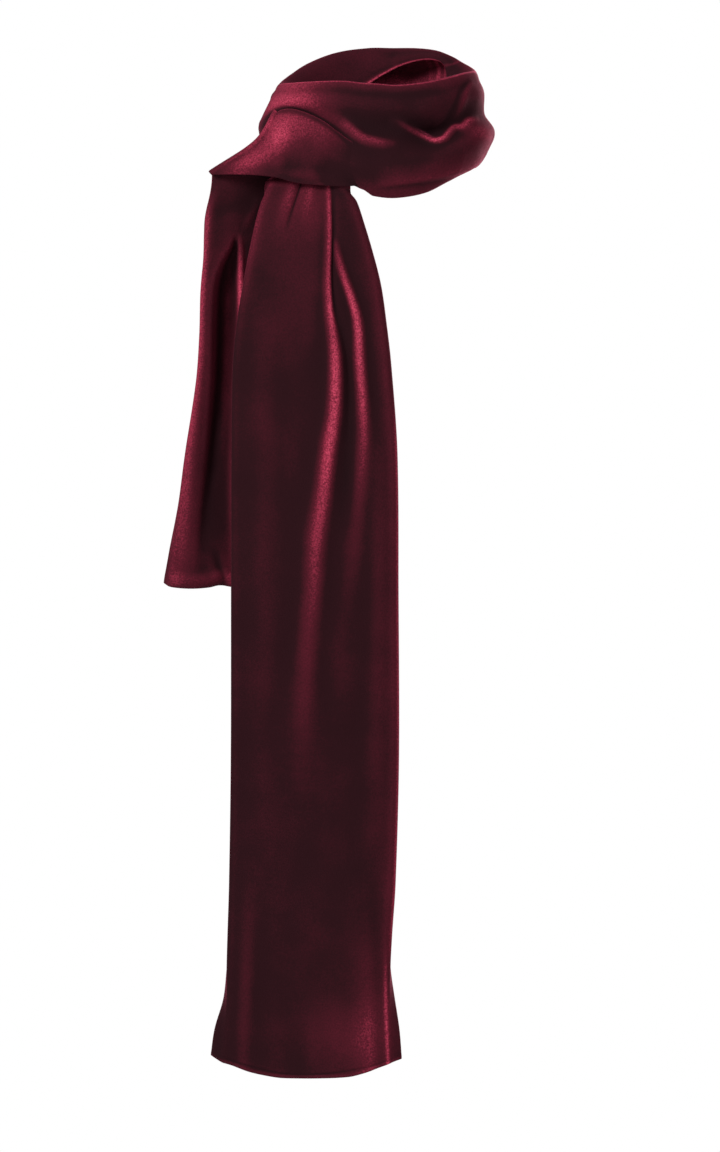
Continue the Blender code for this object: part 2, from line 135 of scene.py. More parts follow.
def unevenness(points, size, seed):
    # soft chance variation between about -1 and 1
    shift = Vector([seed * step for step in cloth["chanceShift"]])
    flat = points.reshape(-1, 3) / size
    values = [noise.noise(Vector(p) + shift) for p in flat]
    return np.array(values).reshape(points.shape[:-1]) * cloth["chanceHeight"]


def edgedSteps(count, length, start=True):
    # even steps from 0 to 1, closer together beside a free edge, which the start may not be
    near = np.array(cloth["edgeSteps"]) / length
    middle = np.linspace(near[-1] if start else 0.0, 1 - near[-1], count + 1)
    return np.concatenate(([near[:-1]] if start else []) + [middle, 1 - near[-2::-1]])


def endedSteps(count, length):
    # wide steps from 0 to 1 down a tail, and narrow ones in its last stretch
    reach = cloth["endReach"] / length
    wide = np.linspace(0, 1 - reach, count, endpoint=False)
    narrow = 1 - np.linspace(reach, cloth["edgeSteps"][-1] / length, cloth["endSteps"])
    return np.concatenate([wide, narrow, 1 - np.array(cloth["edgeSteps"][-2::-1]) / length])


def edgeRound(distance):
    # the share of the cloth's thickness at a distance from its free edge
    return np.interp(distance, cloth["edgeSteps"], cloth["edgeThickness"])


def bothEdges(across):
    # the same from one long edge of a sheet to the other
    return (edgeRound(across) * edgeRound(across[-1] - across))[None, :]


def nearestEdge(across):
    return np.minimum(across, across[-1] - across)[None, :]


# painted light and shade in the velvet's colour

paintedLight = {
    "flat": 0.25,              # 0 is dark, as velvet looked into; 1 is a bright painted sheen, as velvet seen from the side
    "least": 0.10,
    "fine": (4.0, 0.6, 0.07),        # reach in millimetres, height that counts as one, weight of the painted highlight on a crest and painted shade in a hollow
    "broad": (13.0, 2.4, 0.08),
    "flank": 0.12,             # weight of the painted sheen on a fold's steep side
    "edge": (1.2, 0.22),       # reach and weight of the painted highlight beside a free edge
    "strokeWidth": 0.55,       # of the fold that a stroke lies on
    "meanReach": 2.6,          # how many reaches away a point still counts in a mean
}


def blurred(values, spacing, reach, closed):
    # a soft mean over a reach in millimetres, along both ways of a grid
    for axis in (0, 1):
        sigma = reach / spacing[axis]
        half = min(int(math.ceil(paintedLight["meanReach"] * sigma)), values.shape[axis] - 2)
        weights = np.exp(-0.5 * (np.arange(-half, half + 1) / sigma) ** 2)
        weights /= weights.sum()
        wide = [(0, 0)] * values.ndim
        wide[axis] = (half, half)
        if closed and axis == 0:
            ends = np.concatenate([values[-half - 1:-1], values, values[1:half + 1]])
        else:
            ends = np.pad(values, wide, mode="reflect", reflect_type="odd")
        ends = np.moveaxis(ends, axis, 0)
        count = len(ends) - 2 * half
        mean = sum(weight * ends[k:k + count] for k, weight in enumerate(weights))
        values = np.moveaxis(mean, 0, axis)
    return values


def gridNormals(points, closed):
    if closed:
        ends = np.concatenate([points[-2:-1], points, points[1:2]])
        along = ends[2:] - ends[:-2]
    else:
        along = np.gradient(points, axis=0)
    normal = np.cross(along, np.gradient(points, axis=1))
    return normal / np.maximum(np.linalg.norm(normal, axis=-1), tiny)[..., None]


def paintedLightAndShade(points, fromEdge, strokes, innerStrokes=0.0, closed=False):
    # painted light and shade on the outer and on the inner side: painted highlights on ridges and painted
    # shade in hollows, where a ridge of one is a hollow of the other; both get painted sheen on steep sides
    # and a painted highlight along a free edge, and the strokes are added
    spacing = [np.linalg.norm(np.diff(points, axis=axis), axis=-1).mean() for axis in (0, 1)]
    normal = gridNormals(points, closed)
    crest = 0
    for reach, height, weight in (paintedLight["fine"], paintedLight["broad"]):
        mean = blurred(points, spacing, reach, closed)
        meanNormal = gridNormals(mean, closed)
        crest = crest + weight * np.tanh(((points - mean) * meanNormal).sum(-1) / height)
    both = paintedLight["flat"] + paintedLight["flank"] * (1 - (normal * meanNormal).sum(-1))
    reach, weight = paintedLight["edge"]
    both = both + weight * bell(fromEdge, 0.0, reach)
    return (np.maximum(both + crest + strokes, paintedLight["least"]),
            np.maximum(both - crest + innerStrokes, paintedLight["least"]))


def foldShine(folds, strengths, x, z):
    # painted highlights and painted shade along the folds, with a strength for each of a fold's rows
    strokes = {}
    for name, values in strengths.items():
        rows = np.array(folds[name], float)
        rows[:, 2:4] *= paintedLight["strokeWidth"]
        rows[:, 4] = values
        strokes[name] = rows
    return foldField(strokes, x, z)


def napAndLightPatches(patches, x, z):
    # soft patches of painted highlight and painted shade, partly the nap's lie: x, z, half length, half
    # width, turn, strength
    total = np.zeros(x.shape)
    for px, pz, long, wide, turn, strength in patches:
        turn = math.radians(turn)
        along = ((x - px) * math.cos(turn) + (z - pz) * math.sin(turn)) / long
        beside = ((z - pz) * math.cos(turn) - (x - px) * math.sin(turn)) / wide
        total += strength * np.exp(-along ** 2 - beside ** 2)
    return total


def sheetStrokes(points, patches, folds, shine, drawn=None):
    # painted light and shade from patches, strokes along the folds and strokes drawn by themselves, on a
    # sheet's points
    x, z = points[..., 0], points[..., 2]
    strokes = napAndLightPatches(patches, x, z) + foldShine(folds, shine, x, z)
    return strokes + foldField(drawn, x, z) if drawn else strokes


# making a sheet

def layGrid(name, points, fullness, uv, lightAndShade):
    # a grid from Blender, laid on the points; fullness is the share of the full thickness, and the last
    # argument holds the painted light and shade, on the outer side and on the inner side
    rows, columns = points.shape[:2]
    bpy.ops.object.select_all(action="DESELECT")
    bpy.ops.mesh.primitive_grid_add(x_subdivisions=rows - 1, y_subdivisions=columns - 1, size=1)
    piece = bpy.context.object
    piece.name = name
    piece.data.name = name
    flat = np.zeros(len(piece.data.vertices) * 3)
    piece.data.vertices.foreach_get("co", flat)
    flat = flat.reshape(-1, 3)
    i = np.rint((flat[:, 0] + 0.5) * (rows - 1)).astype(int)
    j = np.rint((flat[:, 1] + 0.5) * (columns - 1)).astype(int)
    piece.data.vertices.foreach_set("co", (points[i, j] * mm).ravel())
    full = piece.vertex_groups.new(name="fullness")
    for number, value in enumerate(fullness[i, j]):
        full.add([number], float(value), "REPLACE")
    for label, values in zip(("paintedLightShown", "paintedLightInner"), lightAndShade):
        layer = piece.data.attributes.new(label, "FLOAT", "POINT")
        layer.data.foreach_set("value", values[i, j].astype(np.float32))
    corner = np.zeros(len(piece.data.loops), int)
    piece.data.loops.foreach_get("vertex_index", corner)
    piece.data.uv_layers[0].data.foreach_set("uv", (uv[i, j][corner] * mm).ravel())
    return piece


def finishSheet(piece, joined=False):
    # close what meets, give it the cloth's thickness and smooth it
    bpy.ops.object.select_all(action="DESELECT")
    piece.select_set(True)
    bpy.context.view_layer.objects.active = piece
    if joined:
        bpy.ops.object.mode_set(mode="EDIT")
        bpy.ops.mesh.select_all(action="SELECT")
        bpy.ops.mesh.remove_doubles(threshold=cloth["joinWithin"] * mm)
        bpy.ops.mesh.select_all(action="DESELECT")
        bpy.ops.object.mode_set(mode="OBJECT")
    outer = len(piece.data.vertices)
    wall = piece.modifiers.new("wall", "SOLIDIFY")
    wall.thickness = cloth["thickness"] * cloth["swell"] * mm
    wall.offset = 0.0
    wall.vertex_group = "fullness"
    bpy.ops.object.modifier_apply(modifier=wall.name)
    # the painted light and shade of the inner side goes on the wall's second half
    shown, inner = (np.zeros(len(piece.data.vertices), np.float32) for _ in range(2))
    piece.data.attributes["paintedLightShown"].data.foreach_get("value", shown)
    piece.data.attributes["paintedLightInner"].data.foreach_get("value", inner)
    shown[outer:] = inner[outer:]               # the wall's second half is its inner side
    piece.data.attributes["paintedLightShown"].data.foreach_set("value", shown)
    piece.data.attributes.remove(piece.data.attributes["paintedLightInner"])
    bpy.ops.object.shade_smooth()
    print(piece.name, "laid:", sum(len(p.vertices) - 2 for p in piece.data.polygons), "triangles")
    return piece


# the loop round the neck

loop = {
    "middle": (-1.0, -4.0),
    "halfWidth": 109.0,
    "halfDepth": 100.0,
    "turnSteps": 400,
    "densitySteps": 2001,
    "frontDensity": 2.0,                               # the front is divided this much finer
    "frontReach": (100.0, -30.0),                      # degrees from its middle, and how that fades
    "sectionSteps": (6, 6, 7, 8, 9, 17, 21, 13, 10, 7),   # between the points of a section
    "edgeShares": (0.0, 0.003, 0.008),                 # of a section, beside its edges
    "arc": 1.8,                                        # millimetres for each degree
    "sectionLength": 170.0,
    "foldEnds": 0.6,                                   # the smaller, the blunter
    "foldedTurn": (-0.12, 0.3),                        # the front's folds: cosine of their angle, and
    "foldedFrom": (0.27, 0.1),                         # share of the section, with how they fade
    "foldedTo": (0.985, -0.06),
    "paintedTurn": (-0.1, 0.4),                        # the same for the front's painted highlights and shade
    "paintedFrom": (0.25, 0.1),
    "unevenTo": (1.0, -0.08),
    "tucked": (1.0, 3.0),                              # a tuck this long has a round edge of its own
    "unevenness": ((46.0, 0.9, 1), (19.0, 0.35, 2)),   # size and height in millimetres, pattern
}
section = {        # how the points between those of the table are found
    "lip": (17.0, 7.0, 0.5),       # how deep: at most, at least, for each millimetre of flap
    "roll": (7.0, 0.32),           # how far down: at most, for each millimetre of flap
    "inner": (0.65, 1.0),
    "upper": 0.45,
    "straight": (12.0, 2.0, 9.0),  # the tuck that isn't straight at all; outward and upward if it is
    "under": (0.3, 0.62),
    "end": 0.4,
}
loopColumns = ("angle", "rim", "rimIn", "shoulderIn", "groove", "grooveIn", "belly", "base",
               "baseIn", "tuck", "lip")
loopRows = (
    (0, 22, 10, 3, -17, 8, -48, -78, 12, 14, -12),
    (12, 21, 10, 3, -18, 10, -49, -79, 12, 14, -12),
    (29, 25, 11, 4, -22, 15, -45, -74, 13, 14, -8),
    (45, 31, 12, 5, -14, 12, -34, -63, 15, 14, -2),
    (60, 37, 15, 7, -2, 10, -24, -54, 18, 14, 4),
    (75, 41, 17, 9, 3, 10, -15, -47, 19, 13, 10),
    (90, 44, 18, 10, 5, 10, -11, -44, 19, 12, 14),
    (105, 50, 17, 9, 10, 8, -8, -40, 17, 12, 22),
    (118, 57, 16, 8, 16, 6, 0, -32, 15, 12, 40),
    (128, 64, 15, 7, 22, 5, 6, -26, 14, 12, 57),
    (140, 71, 14, 6, 28, 5, 12, -18, 13, 12, 63),
    (155, 75, 13, 6, 32, 5, 16, -12, 12, 12, 61),
    (170, 76, 13, 6, 34, 5, 18, -8, 12, 12, 53),
    (185, 76, 13, 6, 34, 5, 18, -7, 12, 12, 42),
    (205, 71, 13, 6, 30, 5, 13, -10, 12, 12, 22),
    (225, 59, 14, 6, 20, 5, 4, -20, 12, 12, 10),
    (245, 44, 16, 8, 10, 5, -4, -32, 12, 11, 2),
    (262, 34, 19, 10, 4, 4, -8, -40, 12, 9, -1),
    (275, 31, 20, 10, 1, 3, -8, -43, 11, 6, -3),
    (290, 29, 18, 8, -2, 3, -14, -47, 8, 3, -5),
    (305, 27, 13, 4, -6, 4, -24, -49, 5, 0, -8),
    (320, 26, 11, 3, -10, 5, -30, -50, 4, 0, -10),
    (341, 25, 10, 3, -14, 6, -41, -65, 4, 0, -12),
    (351, 23, 10, 3, -16, 7, -47, -74, 8, 6, -12),
)
# folds round the sides and the back: from angle and share of the section, to angle and share,
# half width, how far out
loopSideFolds = (
    (100, 0.66, 168, 0.52, 12, 4.0),
    (120, 0.42, 228, 0.56, 11, 4.0),
    (118, 0.50, 224, 0.66, 10, -4.0),
    (176, 0.76, 262, 0.66, 12, 4.5),
    (206, 0.36, 268, 0.46, 10, 3.0),
    (214, 0.46, 270, 0.56, 10, -2.6),
    (146, 0.28, 152, 0.90, 26, 4.0),
    (206, 0.28, 212, 0.90, 30, 5.0),
    (244, 0.30, 238, 0.90, 22, -3.0),
    (84, 0.72, 150, 0.80, 6, 2.2),
    (92, 0.56, 136, 0.62, 5, -2.4),
    (160, 0.62, 236, 0.76, 6, -2.4),
    (186, 0.88, 258, 0.80, 6, 2.0),
    (222, 0.56, 268, 0.70, 5, 2.0),
    (48, 0.76, 122, 0.76, 17, -2.8),
    (118, 0.42, 128, 0.70, 7, -1.2),
    (128, 0.40, 140, 0.74, 8, 1.2),
    (142, 0.44, 148, 0.66, 6, -0.9),
)
# folds of the front, drawn as it is seen: x, z, half width above, half width below, out
loopFrontFolds = {
    "softSwell": ((-34, -8, 6, 9, 0), (-26, -16, 6, 9, 2.5), (-14, -26, 5, 9, 3.6),
                  (0, -30, 5, 9, 3.2), (10, -31, 5, 9, 1.6), (20, -31, 5, 9, 0)),
    "pocketRidge": ((8, -10, 4, 6, 0), (18, -12, 4, 6, 2.0), (28, -17.5, 3.2, 5.5, 3.4),
                    (40, -23, 2.6, 5, 4.6), (50, -27, 2.3, 4.5, 5.4), (58, -25, 2.3, 4.5, 4.8),
                    (63, -19.5, 2.6, 5, 4.0), (68, -14, 3, 5.5, 3.6), (76, -12, 3.5, 6, 3.0),
                    (82, -6, 4, 6, 2.4), (92, -4, 4, 6, 0)),
    "pocket": ((26, -10, 4, 4, 0), (38, -14.5, 5, 4, -2.5), (49, -17.5, 7, 5, -6.5),
               (57, -14.5, 5, 5, -4.5), (64, -8, 4, 4, -1.8), (70, -4, 4, 4, 0)),
    "fanOne": ((87, 33, 2.6, 3, 0), (82, 22, 2.6, 3, 0.9), (77, 10, 2.8, 3.4, 1.1),
               (72, -2, 3, 4, 0.7), (67, -8, 3, 4, 0)),
    "fanTwo": ((84, 34, 3, 3, 0), (76, 20, 3.5, 3.5, -1.2), (68, 4, 4, 4, -1.8),
               (60, -10, 4, 4, -1.2), (56, -16, 4, 4, 0)),
    "fanThree": ((78, 35, 5, 5, 0), (62, 22, 7, 7, 1.0), (46, 8, 8, 8, 1.2), (34, -3, 8, 8, 0)),
    "layeredEdge": ((-4, -70, 10, 1.6, 0), (10, -68.5, 12, 1.6, 1.6), (40, -64, 13, 1.5, 2.4),
                    (64, -57.5, 13, 1.5, 2.4), (86, -47, 11, 1.6, 2.0), (100, -38, 9, 1.6, 0)),
    "lowerSwell": ((-6, -50, 10, 10, 0), (16, -49, 11, 10, 1.2), (44, -46, 11, 10, 1.4),
                   (70, -38, 10, 9, 1.4), (92, -27, 8, 8, 0)),
    "leftRoll": ((-88, -2, 8, 7, 0), (-76, 7, 9, 7, 1.8),
                 (-52, 12, 9, 7, 2.0), (-24, 8, 9, 8, 1.0), (0, 4, 9, 8, 0)),
}
# how bright each row of a fold is painted, as painted highlight above nought and painted shade below, and
# patches of painted highlight and shade, partly the nap's lie: x, z, half length, half width, turn, strength
loopShine = {
    "softSwell": (0.10, 0.20, 0.26, 0.24, 0.14, 0),
    "pocketRidge": (0, 0.08, 0.22, 0.40, 0.60, 0.58, 0.42, 0.34, 0.32, 0.30, 0.12),
    "pocket": (0, -0.07, -0.14, -0.10, -0.04, 0),
    "fanOne": (0, 0.12, 0.12, 0.06, 0),
    "fanTwo": (0, -0.05, -0.06, -0.04, 0),
    "layeredEdge": (0, 0.07, 0.10, 0.10, 0.08, 0),
    "lowerSwell": (0, -0.05, -0.07, -0.05, 0),
}
loopPatches = (
    (-86, 11, 29, 18, 6, 0.42),
    (-104, 2, 12, 22, 80, 0.14),
    (-44, -8, 22, 9, -35, 0.22),
    (93, -15, 9, 20, 80, 0.27),
    (30, 4, 56, 18, 0, -0.12),
    (6, -52, 60, 17, 8, -0.08),
    (-10, -44, 16, 24, 0, -0.05),
)
loopShade = {        # the shadow line on the loop along the lap's upper edge
    "underLap": ((-106, -16, 5, 8, -0.30), (-101, -4, 4, 8, -0.56), (-95, 1, 3.6, 8, -0.60),
                 (-88, 3.2, 3.0, 8, -0.58), (-80, 3.2, 2.4, 8, -0.52), (-73, 1.8, 2.0, 8, -0.46),
                 (-63, -2.4, 1.9, 8, -0.40), (-50, -9.6, 1.8, 8, -0.30), (-37.5, -18.2, 1.8, 6, -0.22),
                 (-24, -29, 1.8, 4, -0.12), (-11, -37, 2, 2, 0)),
}
# a painted highlight along the rim's top at the front, and painted shade on the flap elsewhere
rimLine = {"place": 0.311, "wide": 0.009, "strength": 0.36, "ahead": (0.0, 0.3),
           "shade": -0.05, "above": (0.3, -0.05)}
# a painted highlight along the lip's free edge round the back, and painted light on the inner side in the
# gutter, which lies in shade
lipShine = {"reach": 3.0, "strength": 0.62, "from": 106.0, "to": 240.0, "fade": 12.0, "gutter": 0.34}
# painted highlights inside the gutter at the right: middle angle, half width in degrees, strength
gutterShine = ((149, 1.2, 0.12), (143.5, 1.3, 0.26), (139, 1.0, 0.16), (134, 2.0, 0.12))
# a thin painted highlight line slanting down the flap at the right
flapLine = {"from": 127.0, "slant": 24.0, "wide": 0.9, "strength": 0.22, "end": 0.3}


def loopControls(angle):
    # a section's points as (inside, height), from the lip over the rim and down to the tuck's end
    row = readRows(loopColumns, loopRows, angle, period=360.0)
    rim, rimIn, lip, shoulderIn = row["rim"], row["rimIn"], row["lip"], row["shoulderIn"]
    flap = rim - lip
    most, least, slope = section["lip"]
    lipIn = rimIn + np.minimum(most, least + slope * flap)
    most, slope = section["roll"]
    roll = (0.5 * (rimIn + lipIn), rim - np.minimum(most, slope * flap))
    share, more = section["inner"]
    inner = (roll[0] + (lipIn - roll[0]) * share + more, 0.5 * (roll[1] + lip))
    shoulder = (shoulderIn, 0.5 * (rim + row["groove"]))
    upper = (0.5 * (rimIn + shoulderIn), rim + (shoulder[1] - rim) * section["upper"])
    full, outward, upward = section["straight"]
    straight = 1.0 - np.minimum(1.0, row["tuck"] / full)
    base = (row["baseIn"] - outward * straight, row["base"] + upward * straight)
    inShare, downShare = section["under"]
    under = (inShare * base[0], row["belly"] + (base[1] - row["belly"]) * downShare)
    end = (row["baseIn"] + row["tuck"], row["base"] + section["end"] * row["tuck"])
    places = [(lipIn, lip), inner, roll, (rimIn, rim), upper, shoulder,
              (row["grooveIn"], row["groove"]), (0.0, row["belly"]), under, base, end]
    return np.array([np.stack(np.broadcast_arrays(*p), -1) for p in places]), row


def sideFoldHeight(angle, share):
    total = np.zeros(np.broadcast(angle, share).shape)
    for fromAngle, fromShare, toAngle, toShare, halfWidth, out in loopSideFolds:
        run = (toAngle - fromAngle) * loop["arc"]
        rise = (toShare - fromShare) * loop["sectionLength"]
        length = math.hypot(run, rise)
        beside = ((angle - fromAngle + 180.0) % 360.0 - 180.0) * loop["arc"]
        above = (share - fromShare) * loop["sectionLength"]
        along = np.clip((beside * run + above * rise) / length ** 2, 0.0, 1.0)
        off = (beside * rise - above * run) / length
        total += out * np.sin(math.pi * along) ** loop["foldEnds"] * bell(off, 0.0, halfWidth)
    return total


def loopPoints(angle, share, fine=True):
    # angle and share are rows of numbers; gives their grid of points and the section's table
    controls, row = loopControls(angle)
    place = throughPoints(np.arange(len(controls)), controls, share * (len(controls) - 1))
    inside = place[..., 0].T
    height = place[..., 1].T
    turn = np.radians(angle)[:, None]
    wide = np.sin(turn) / loop["halfWidth"]
    deep = np.cos(turn) / loop["halfDepth"]
    oval = 1.0 / np.sqrt(wide ** 2 + deep ** 2)
    inside = inside - sideFoldHeight(angle[:, None], share[None, :])

    def placed(inside):
        reach = oval - inside
        x = loop["middle"][0] + reach * np.sin(turn)
        y = loop["middle"][1] - reach * np.cos(turn)
        return np.stack([x, y, height], -1)

    points = placed(inside)
    if fine:
        folded = fade(np.cos(turn), *loop["foldedTurn"]) * fade(share, *loop["foldedFrom"])
        folded = folded * fade(share, *loop["foldedTo"])
        inside = inside - folded * foldField(loopFrontFolds, points[..., 0], points[..., 2])
        for size, rise, pattern in loop["unevenness"]:
            inside = inside - rise * unevenness(points, size, pattern) * fade(share, *loop["unevenTo"])
        points = placed(inside)
    return points, row


def loopAngles():
    # close together at the front, wider apart at the nape
    even = np.linspace(-180.0, 180.0, loop["densitySteps"])
    density = 1.0 + (loop["frontDensity"] - 1.0) * fade(np.abs(even), *loop["frontReach"])
    counted = np.concatenate([[0.0], np.cumsum(0.5 * (density[1:] + density[:-1]))])
    return np.interp(np.linspace(0, counted[-1], loop["turnSteps"] + 1), counted, even)


def sectionShares():
    counts = loop["sectionSteps"]
    steps = [np.linspace(k, k + 1, n, endpoint=False) / len(counts) for k, n in enumerate(counts)]
    shares = np.concatenate(steps)[1:]
    edge = np.array(loop["edgeShares"])
    return np.concatenate([edge, shares, 1 - edge[::-1]])


def arcLengths(points):
    # how far each point lies along the cloth, from the first row and from the first column
    down = np.linalg.norm(np.diff(points, axis=0), axis=2)
    side = np.linalg.norm(np.diff(points, axis=1), axis=2)
    u = np.concatenate([np.zeros((1, points.shape[1])), np.cumsum(down, 0)]).mean(1)
    v = np.concatenate([np.zeros((points.shape[0], 1)), np.cumsum(side, 1)], 1).mean(0)
    return np.stack(np.broadcast_arrays(u[:, None], v[None, :]), -1), v


loopTurn = loopAngles()[::-1]               # so that the grid faces out
loopShare = sectionShares()
loopCloth, loopRow = loopPoints(loopTurn, loopShare)
loopUv, loopAcross = arcLengths(loopCloth)
tucked = fade(loopRow["tuck"][:, None], *loop["tucked"])
bottomRound = edgeRound(loopAcross[-1] - loopAcross)[None, :]
loopFull = edgeRound(loopAcross)[None, :] * (1 - tucked + tucked * bottomRound) / cloth["swell"]
loopBearing = (loopTurn % 360.0)[:, None]
forward = np.cos(np.radians(loopBearing))
# painted light and shade on the front of the loop
loopStrokes = fade(forward, *loop["paintedTurn"]) * fade(loopShare, *loop["paintedFrom"])
loopStrokes *= sheetStrokes(loopCloth, loopPatches, loopFrontFolds, loopShine, loopShade)
ahead = fade(forward, *rimLine["ahead"])
loopStrokes += rimLine["strength"] * ahead * bell(loopShare, rimLine["place"], rimLine["wide"])
loopStrokes += rimLine["shade"] * (1 - ahead) * fade(loopShare, *rimLine["above"])
offLine = loopBearing - flapLine["from"] + flapLine["slant"] * loopShare
onFlap = flapLine["strength"] * (loopShare < flapLine["end"])
loopStrokes += onFlap * bell(offLine, 0.0, flapLine["wide"])
onLip = fade(loopBearing, lipShine["from"], lipShine["fade"])
onLip = onLip * fade(loopBearing, lipShine["to"], -lipShine["fade"])
loopStrokes += lipShine["strength"] * onLip * bell(loopAcross, 0.0, lipShine["reach"])
# painted light and painted highlights inside the gutter, which lies in shade
inGutter = sum(strength * bell(loopBearing, angle, wide) for angle, wide, strength in gutterShine)
inGutter = inGutter + lipShine["gutter"] * onLip
loopLightAndShade = paintedLightAndShade(loopCloth, nearestEdge(loopAcross), loopStrokes, inGutter, closed=True)
neckLoop = finishSheet(layGrid("neckLoop", loopCloth, loopFull, loopUv, loopLightAndShade), joined=True)


# the lap over the front, which folds back along the crease and hangs as the short tail

lap = {
    "flatSteps": 92,
    "helperSteps": 56,
    "turnSteps": 10,
    "upperSteps": 20,          # above the part that goes on as the short tail
    "upperLength": 28.0,
    "flatShare": 0.78,
    "turnRadius": 3.6,
    "creaseSlant": math.sqrt(0.5),
    "creaseFade": 0.08,        # how its unevenness ends before the crease
    "clearance": 3.4,          # from the middle of the loop's cloth to the middle of the lap's
    "sunk": -0.5,              # the same at its right end, where it melts into the loop
    "meltLength": 0.42,
    "meltPower": 1.5,
    "thinned": 0.35,           # the share of its thickness there, so that it stays within the loop's cloth
    "softened": (12, 2),       # how many times, first and last
    "carried": (92.0, 0.34),   # by the loop up to this angle, and from this share of its section on
    "before": -300.0,          # a depth in front of all the cloth
    "beside": 12.0,            # how near the loop's cloth counts where none is right behind
    "level": -98.0,            # the depth from which that is looked for
    "unevenness": ((30.0, 0.7, 5), (13.0, 0.25, 6)),
}
lapColumns = ("step", "topX", "topY", "topZ", "middleX", "middleY", "middleZ",
              "bottomX", "bottomY", "bottomZ")
lapRows = (
    (0, -2, -104, -37, 6, -107, -50, 10, -104, -64),
    (1, -22, -103, -31, -26, -106, -50, -23, -103, -70),
    (2, -38, -100, -20, -46, -104, -44, -53, -99, -69.5),
    (3, -50, -96, -11, -61, -101, -39, -75, -95, -67),
    (4, -63, -90, -4, -76, -96, -34, -92, -90, -62),
    (5, -76, -81, 1, -91, -89, -31, -112, -84, -59),
    (6, -86, -72, 2, -101, -81, -31, -132, -79, -58),
    (7, -92, -66, 0, -110, -72, -29, -152.2, -73, -57.5),
)
lapFolds = {      # x, z, half width on the left hand going along it, on the right hand, out
    "brow": ((-104, -14, 7, 12, 0), (-88, -5, 6, 12, 1.2), (-70, -8, 4, 12, 1.8),
             (-50, -19, 3.5, 12, 2.0), (-32, -32, 3.5, 12, 1.4), (-18, -42, 4, 10, 0)),
    "pull": ((-84, -2, 10, 12, 0), (-88, -22, 9, 12, 1.8), (-92, -44, 8, 12, 2.2), (-95, -64, 8, 12, 0.8)),
    "footFold": ((-146, -54, 4, 4, 0), (-128, -48, 5, 5, 1.4), (-108, -44, 7, 6, 1.6), (-90, -40, 8, 8, 0)),
    "lowFold": ((-100, -58, 4, 4, 0), (-76, -59, 5, 4, 1.2), (-48, -63, 5, 4, 1.0), (-22, -66, 5, 4, 0)),
}
shortTail = {
    "corner": 0.62,            # the share of the crease, from its foot, that it hangs from
    "downSteps": 150,
    "acrossSteps": 100,
    "length": 375.0,
    "width": 150.0,
    "margin": 12.0,
    "marginShare": 0.12,
    "leftTurn": 4.0,
    "rightTurn": 4.0,
    "rightSwing": 20.0,
    "leftFade": (0.08, 0.08),  # where its folds begin and its puffed end stops, as shares across
    "rightFade": (0.97, -0.15),
    "blend": 44.0,
    "valleySteepness": 6,
    "swollen": 0.45,           # how much thicker the closed end is, and how far up
    "swellPlace": (6.0, 11.0),
    "unevenness": ((40.0, 1.0, 9), (15.0, 0.3, 10)),
}
shortColumns = ("height", "left", "right", "leftDepth", "rightDepth", "valleyX", "valleyWide", "valleyIn",
                "leftSwing")
shortRows = (
    (-66, -154, -90, -65, -52, -129, 2, 0, 60),
    (-97, -157, -82, -64, -48, -129, 2, 0, 75),
    (-113, -158, -79, -64, -46, -130, 2.5, 0.5, 80),
    (-122, -158.5, -78, -63, -45, -131, 4, 6, 84),
    (-137, -159.5, -76, -63, -44, -135, 8, 12, 90),
    (-152, -161, -73, -63, -43, -138, 10, 15, 96),
    (-167, -162, -71, -63, -43, -139, 11, 16, 100),
    (-204, -163, -68, -62, -42, -140, 11, 16, 105),
    (-245, -166, -66, -61, -42, -141, 11, 14, 105),
    (-311, -176, -63, -60, -42, -145, 12, 9, 95),
    (-360, -182.5, -61, -59, -42, -148, 14, 5, 85),
    (-400, -189, -60, -58, -42, -150, 16, 2, 70),
    (-433, -192.5, -60, -57, -42, -152, 16, 0, 50),
)
shortEnd = ((0, -430.5), (0.10, -434), (0.22, -435.5), (0.32, -434.5), (0.38, -432.5), (0.46, -434),
            (0.56, -432), (0.75, -429), (0.88, -426), (1, -424))
# the closed end's puff and curl, and how strong the painted highlight along it is
endPuff = {"out": 3.2, "middle": 8.0, "reach": 5.5, "curl": 2.4, "curlReach": 3.0, "shine": 0.09}
shortFolds = {
    "valleyRim": ((-127, -110, 2, 2.5, 0), (-126, -126, 2.2, 3, 2.4), (-126, -162, 2.4, 3, 3.2),
                  (-125, -202, 2.6, 3, 2.4), (-124, -240, 4, 4, 0)),
    "inner": ((-100, -150, 12, 12, 0), (-98, -290, 12, 12, 4), (-96, -430, 12, 12, 0)),
    "leftSwell": ((-166, -240, 8, 8, 0), (-171, -335, 9, 9, 3.5), (-177, -425, 9, 9, 1)),
    "strandOne": ((-108, -72, 3, 3, 0), (-114, -88, 3, 3, 0.9), (-120, -100, 3, 3, 0.7),
                  (-125, -110, 3, 3, 0)),
    "lowCrease": ((-150, -398, 3, 4, 0), (-146, -414, 3, 4, -1.6), (-140, -430, 3, 4, -1.8)),
    "lowCreaseTwo": ((-124, -404, 3, 4, 0), (-127, -418, 3, 4, -1.6), (-129, -432, 3, 4, -2.0)),
}
# a painted highlight along the lap's brow fold, and patches of painted highlight, partly the nap's lie
lapShine = {"brow": (0.05, 0.10, 0.14, 0.14, 0.10, 0)}
lapPatches = (
    (-89, -19, 21, 15, -40, 0.36),
    (-113, -43, 34, 14, 41, 0.38),
    (-60, -26, 24, 6, -38, 0.12),
)
# a painted highlight along the short tail's valley rim, and patches of painted light, most down the valley,
# which lies in shade
shortShine = {"valleyRim": (0, 0.10, 0.46, 0.30, 0)}
shortPatches = (
    (-137, -220, 100, 10, 90, 0.26),
    (-130, -360, 90, 12, 90, 0.20),
    (-168, -405, 30, 26, 0, 0.06),
)
